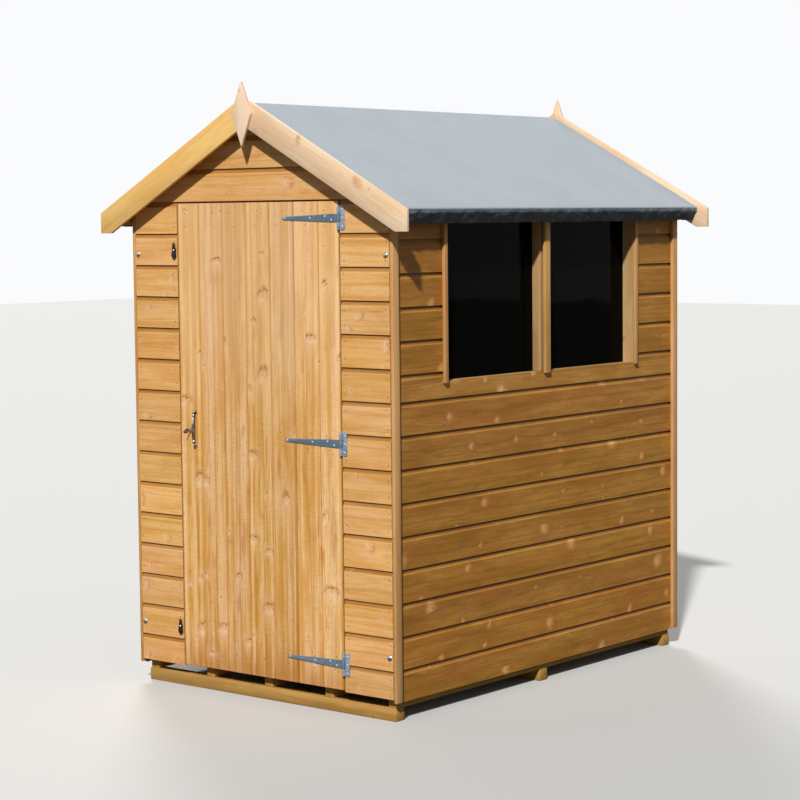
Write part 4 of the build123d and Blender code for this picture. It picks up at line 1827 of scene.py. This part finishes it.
@dataclass
class Glazing:
    """The two fixed panes, the beads behind them and the linings of the opening."""

    lining: float = 0.0025
    cladding_face: float = 0.597
    lining_seed: int = 22
    pane_arris: float = 0.0004
    bead_arris: float = 0.0008

    def build(self) -> None:
        """Dresses the panes and the beads, and lines the opening."""
        low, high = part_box("window_glass")
        linings = []
        for side, edge in ((-1, low.y - SEAT), (1, high.y + SEAT)):
            inner = Vector((high.x + SEAT, edge - side * self.lining, low.z - SEAT))
            depth = self.cladding_face - inner.x
            board = BoardField("lining", inner, UP, RIGHT, BACK * side, high.z - low.z + 2 * SEAT, depth,
                               self.lining, Joint.SQUARE, self.lining_seed + side)
            linings.append(board.build())
        dressed(joined(linings, "window_linings"), Finish.FRAME, "shed")
        panes = worked_copy("window_glass", "window_panes", self.pane_arris, 1)
        dressed(panes, Finish.GLASS, "shed", ["window_glass"])
        beads = ["glazing_beads_upright", "glazing_beads_level"]
        Timbers("shed", Finish.FRAME, "frame_timber", beads, 21, self.bead_arris).build()


@dataclass
class RoofAndFloorBoards:
    """Boards that show from inside: the roof's underside and the floor."""

    roof_seed: int = 31
    floor_seed: int = 33

    def build(self) -> None:
        """Builds the two roof fields and the floor."""
        for side, name in SIDES:
            self._roof(side, "roof_deck_" + name)
        low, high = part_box("floor_boards")
        floor = BoardField("floor_tongued_boards", Vector((low.x, low.y, high.z)), RIGHT, BACK, -UP,
                           high.x - low.x, high.y - low.y, high.z - low.z, Joint.SQUARE, self.floor_seed)
        dressed(floor.build(), Finish.FLOOR, "shed", ["floor_boards"])

    def _roof(self, side: int, node: str) -> None:
        """Builds the boards of one slope, from the eave up.

        Args:
            side: 1 for the right slope, -1 for the left.
            node: The frame's node for them.
        """
        low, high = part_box(node)
        reach = (high.x if side > 0 else -low.x) + round_setback(DECK_EDGE_ROUND)
        under_edge = reach - BOARD_THICKNESS * math.sin(ROOF_PITCH)
        eave = Vector((side * under_edge, low.y, low.z))
        run = under_edge / math.cos(ROOF_PITCH) - BOARD_THICKNESS
        boards = BoardField(node + "_boards", eave, BACK, -down_slope(side), off_slope(side), high.y - low.y,
                            run, BOARD_THICKNESS, Joint.V_JOINT, self.roof_seed + side,
                            back_round=DECK_EDGE_ROUND)
        dressed(boards.build(), Finish.ROOF_BOARD, "shed", [node])


@dataclass
class Cladding:
    """All the shiplap walls, from the frame's own boxes, with nails where the frame's timbers stand."""

    lap_base: float = 0.062
    side_drop: float = 0.0013
    sill_lap: float = 1.1593
    door_gap: float = 0.005
    beside_door: float = 0.016
    front_stud: float = 0.581
    gable_studs: tuple[float, ...] = (-0.581, -0.40, -0.14, 0.14, 0.40, 0.581)
    rear_studs: tuple[float, ...] = (-0.581, -0.199, 0.199, 0.581)
    left_studs: tuple[float, ...] = (-0.838, -0.270, 0.270, 0.838)
    right_studs: tuple[float, ...] = (-0.838, -0.586, 0.006, 0.586, 0.838)
    sill_board_lift: float = 1.7
    # Painted shade in the side walls' coves: a painted highlight just above the shoulder, then darker up to
    # the seat.
    side_cove_shade: tuple[float, ...] = (0.0, -0.10, 0.50, 1.0)

    def build(self) -> None:
        """Builds each stretch of wall and the board over the window."""
        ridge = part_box("roof_deck_right")[1].z - BOARD_THICKNESS / math.cos(ROOF_PITCH)
        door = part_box("door_boards")
        jamb = door[1].x + self.door_gap + self.beside_door
        base = self.lap_base
        ShiplapWall("front_cladding_left", Facing.FRONT, base, (-self.front_stud, -jamb), 1).build()
        ShiplapWall("front_cladding_right", Facing.FRONT, base, (jamb, self.front_stud), 2).build()
        ShiplapWall("front_cladding_gable", Facing.FRONT, base, self.gable_studs, 3, ridge).build()
        ShiplapWall("rear_cladding", Facing.REAR, base, self.rear_studs, 4, ridge).build()
        # The side walls take the darker copy of the shiplap, which is painted shade, and the side walls'
        # painted cove shade.
        deep = {"finish": Finish.DEEP_CLADDING, "painted_cove_shade": self.side_cove_shade}
        ShiplapWall("left_cladding", Facing.LEFT, base, self.left_studs, 5, **deep).build()
        ShiplapWall("right_cladding_lower", Facing.RIGHT, base - self.side_drop, self.right_studs, 6,
                    top_lift=self.sill_board_lift, **deep).build()
        upper = self.sill_lap - BOARD_COVER
        near, far = self.right_studs[:2], self.right_studs[-2:]
        ShiplapWall("right_cladding_front", Facing.RIGHT, upper, near, 8, **deep).build()
        ShiplapWall("right_cladding_rear", Facing.RIGHT, upper, far, 9, **deep).build()
        Timbers("shed", Finish.DEEP_CLADDING, "cladding_timber", ["window_head_board"], 10).build()


@dataclass
class PhotoCamera:
    """The camera of the reference view."""

    place: tuple[float, float, float] = (5.2177, -6.4313, 1.6766)
    azimuth: float = 0.6888
    pitch: float = -0.0820
    roll: float = -0.0101
    lens: float = 99.34
    sensor: float = 36.0

    def build(self) -> None:
        """Adds the camera and makes it the scene's."""
        forward = Vector((-math.sin(self.azimuth) * math.cos(self.pitch),
                          math.cos(self.azimuth) * math.cos(self.pitch), math.sin(self.pitch)))
        level = Vector((math.cos(self.azimuth), math.sin(self.azimuth), 0.0))
        upright = level.cross(forward)
        right = level * math.cos(self.roll) + upright * math.sin(self.roll)
        top = upright * math.cos(self.roll) - level * math.sin(self.roll)
        camera = bpy.data.objects.new("camera", bpy.data.cameras.new("camera"))
        camera.data.lens = self.lens
        camera.data.sensor_width = self.sensor
        camera.matrix_world = Matrix((
            (right.x, top.x, -forward.x, self.place[0]),
            (right.y, top.y, -forward.y, self.place[1]),
            (right.z, top.z, -forward.z, self.place[2]),
            (0.0, 0.0, 0.0, 1.0)))
        bpy.context.scene.collection.objects.link(camera)
        bpy.context.scene.camera = camera


@dataclass
class Studio:
    """A plain pale floor, a key lamp, a soft fill from behind and a pale surround."""

    key_from: tuple[float, float, float] = (0.377, -0.671, 0.638)
    key_strength: float = 3.97
    key_softness: float = 2.5
    fill_from: tuple[float, float, float] = (-0.62, 0.55, 0.56)
    fill_strength: float = 1.6
    fill_softness: float = 16.0
    surround: float = 0.155
    surround_colour: Colour = srgb(250, 251, 253)
    floor_size: float = 60.0
    floor_seen: Colour = srgb(202, 202, 199)
    floor_bounce: Colour = srgb(74, 76, 72)
    floor_roughness: float = 0.9

    def build(self) -> None:
        """Adds the floor, the lamps and the world."""
        bpy.ops.object.select_all(action="DESELECT")
        bpy.ops.mesh.primitive_plane_add(size=self.floor_size)
        floor = begin("studio_floor")
        floor.data.materials.append(self._floor_material())
        self._lamp("key_lamp", self.key_from, self.key_strength, self.key_softness)
        self._lamp("fill_lamp", self.fill_from, self.fill_strength, self.fill_softness)
        self._world()
        bpy.context.scene.view_settings.view_transform = "Standard"

    @staticmethod
    def _lamp(name: str, source: Sequence[float], strength: float, softness: float) -> None:
        """Adds one far lamp.

        Args:
            name: The lamp's name.
            source: Where it shines from.
            strength: Its strength.
            softness: The angle that it fills, in degrees.
        """
        light = bpy.data.lights.new(name, "SUN")
        light.energy = strength
        light.angle = math.radians(softness)
        lamp = bpy.data.objects.new(name, light)
        lamp.rotation_euler = Vector(source).to_track_quat("Z", "Y").to_euler()
        bpy.context.scene.collection.objects.link(lamp)

    def _floor_material(self) -> bpy.types.Material:
        """The floor: pale to the camera, and a duller bounce to the shed."""
        sheet = ShaderSheet.of_material("pale_floor")
        path = sheet.node("ShaderNodeLightPath", output="Is Camera Ray")
        colour = sheet.blend(path, self.floor_bounce, self.floor_seen)
        return sheet.finish({"Base Color": colour, "Roughness": self.floor_roughness})

    def _world(self) -> None:
        """A soft surround that shows white behind the shed."""
        world = bpy.data.worlds.new("surround")
        sheet = ShaderSheet(world)
        path = sheet.node("ShaderNodeLightPath", output="Is Camera Ray")
        seen = path.greater(path.outlet("Is Glossy Ray")).greater(path.outlet("Is Transmission Ray"))
        level = sheet.node("ShaderNodeMapRange", {}, {"Value": seen, "To Min": self.surround, "To Max": 1.0})
        glow = sheet.node("ShaderNodeBackground", {}, {"Color": self.surround_colour, "Strength": level})
        sheet.close("ShaderNodeOutputWorld", glow)
        bpy.context.scene.world = world


STRIP_NODES = ("corner_strips", "window_strips")
FRAME_NODES = ("door_head_stop", "door_side_stops", "door_threshold", "eave_battens", "front_posts",
               "front_rails", "left_rails", "left_studs", "purlins", "rafters_left", "rafters_right",
               "rear_posts", "rear_rails", "right_rails", "right_studs")
BASE_NODES = ("bearers", "floor_joists")
TRIM_ARRIS = 0.0015
SAWN_ARRIS = 0.002


def main() -> None:
    """Loads the frame, dresses the shed part by part and sets up the studio."""
    logging.basicConfig(level=logging.INFO, format="%(name)s: %(message)s")
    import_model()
    PhotoCamera().build()
    Cladding().build()
    BoardedDoor().build()
    Timbers("shed", Finish.TRIM, "roof_trim_timber", ["bargeboards_right"], 11, TRIM_ARRIS).build()
    Timbers("shed", Finish.FINIAL, "roof_trim_timber", ["finials"], 16, TRIM_ARRIS).build()
    Timbers("shed", Finish.GOLD_TRIM, "roof_trim_timber", ["bargeboards_left"], 15, TRIM_ARRIS).build()
    Timbers("shed", Finish.STRIP, "strip_timber", STRIP_NODES, 12).build()
    Timbers("shed", Finish.FRAME, "frame_timber", FRAME_NODES, 13, SAWN_ARRIS).build()
    Timbers("shed", Finish.BASE, "base_timber", BASE_NODES, 14, SAWN_ARRIS).build()
    RoofAndFloorBoards().build()
    FeltRoof().build()
    Glazing().build()
    DoorHinges().build()
    PullHandle().build()
    LockAndButtons().build()
    CoachBolts().build()
    Studio().build()


if __name__ == "__main__":
    main()
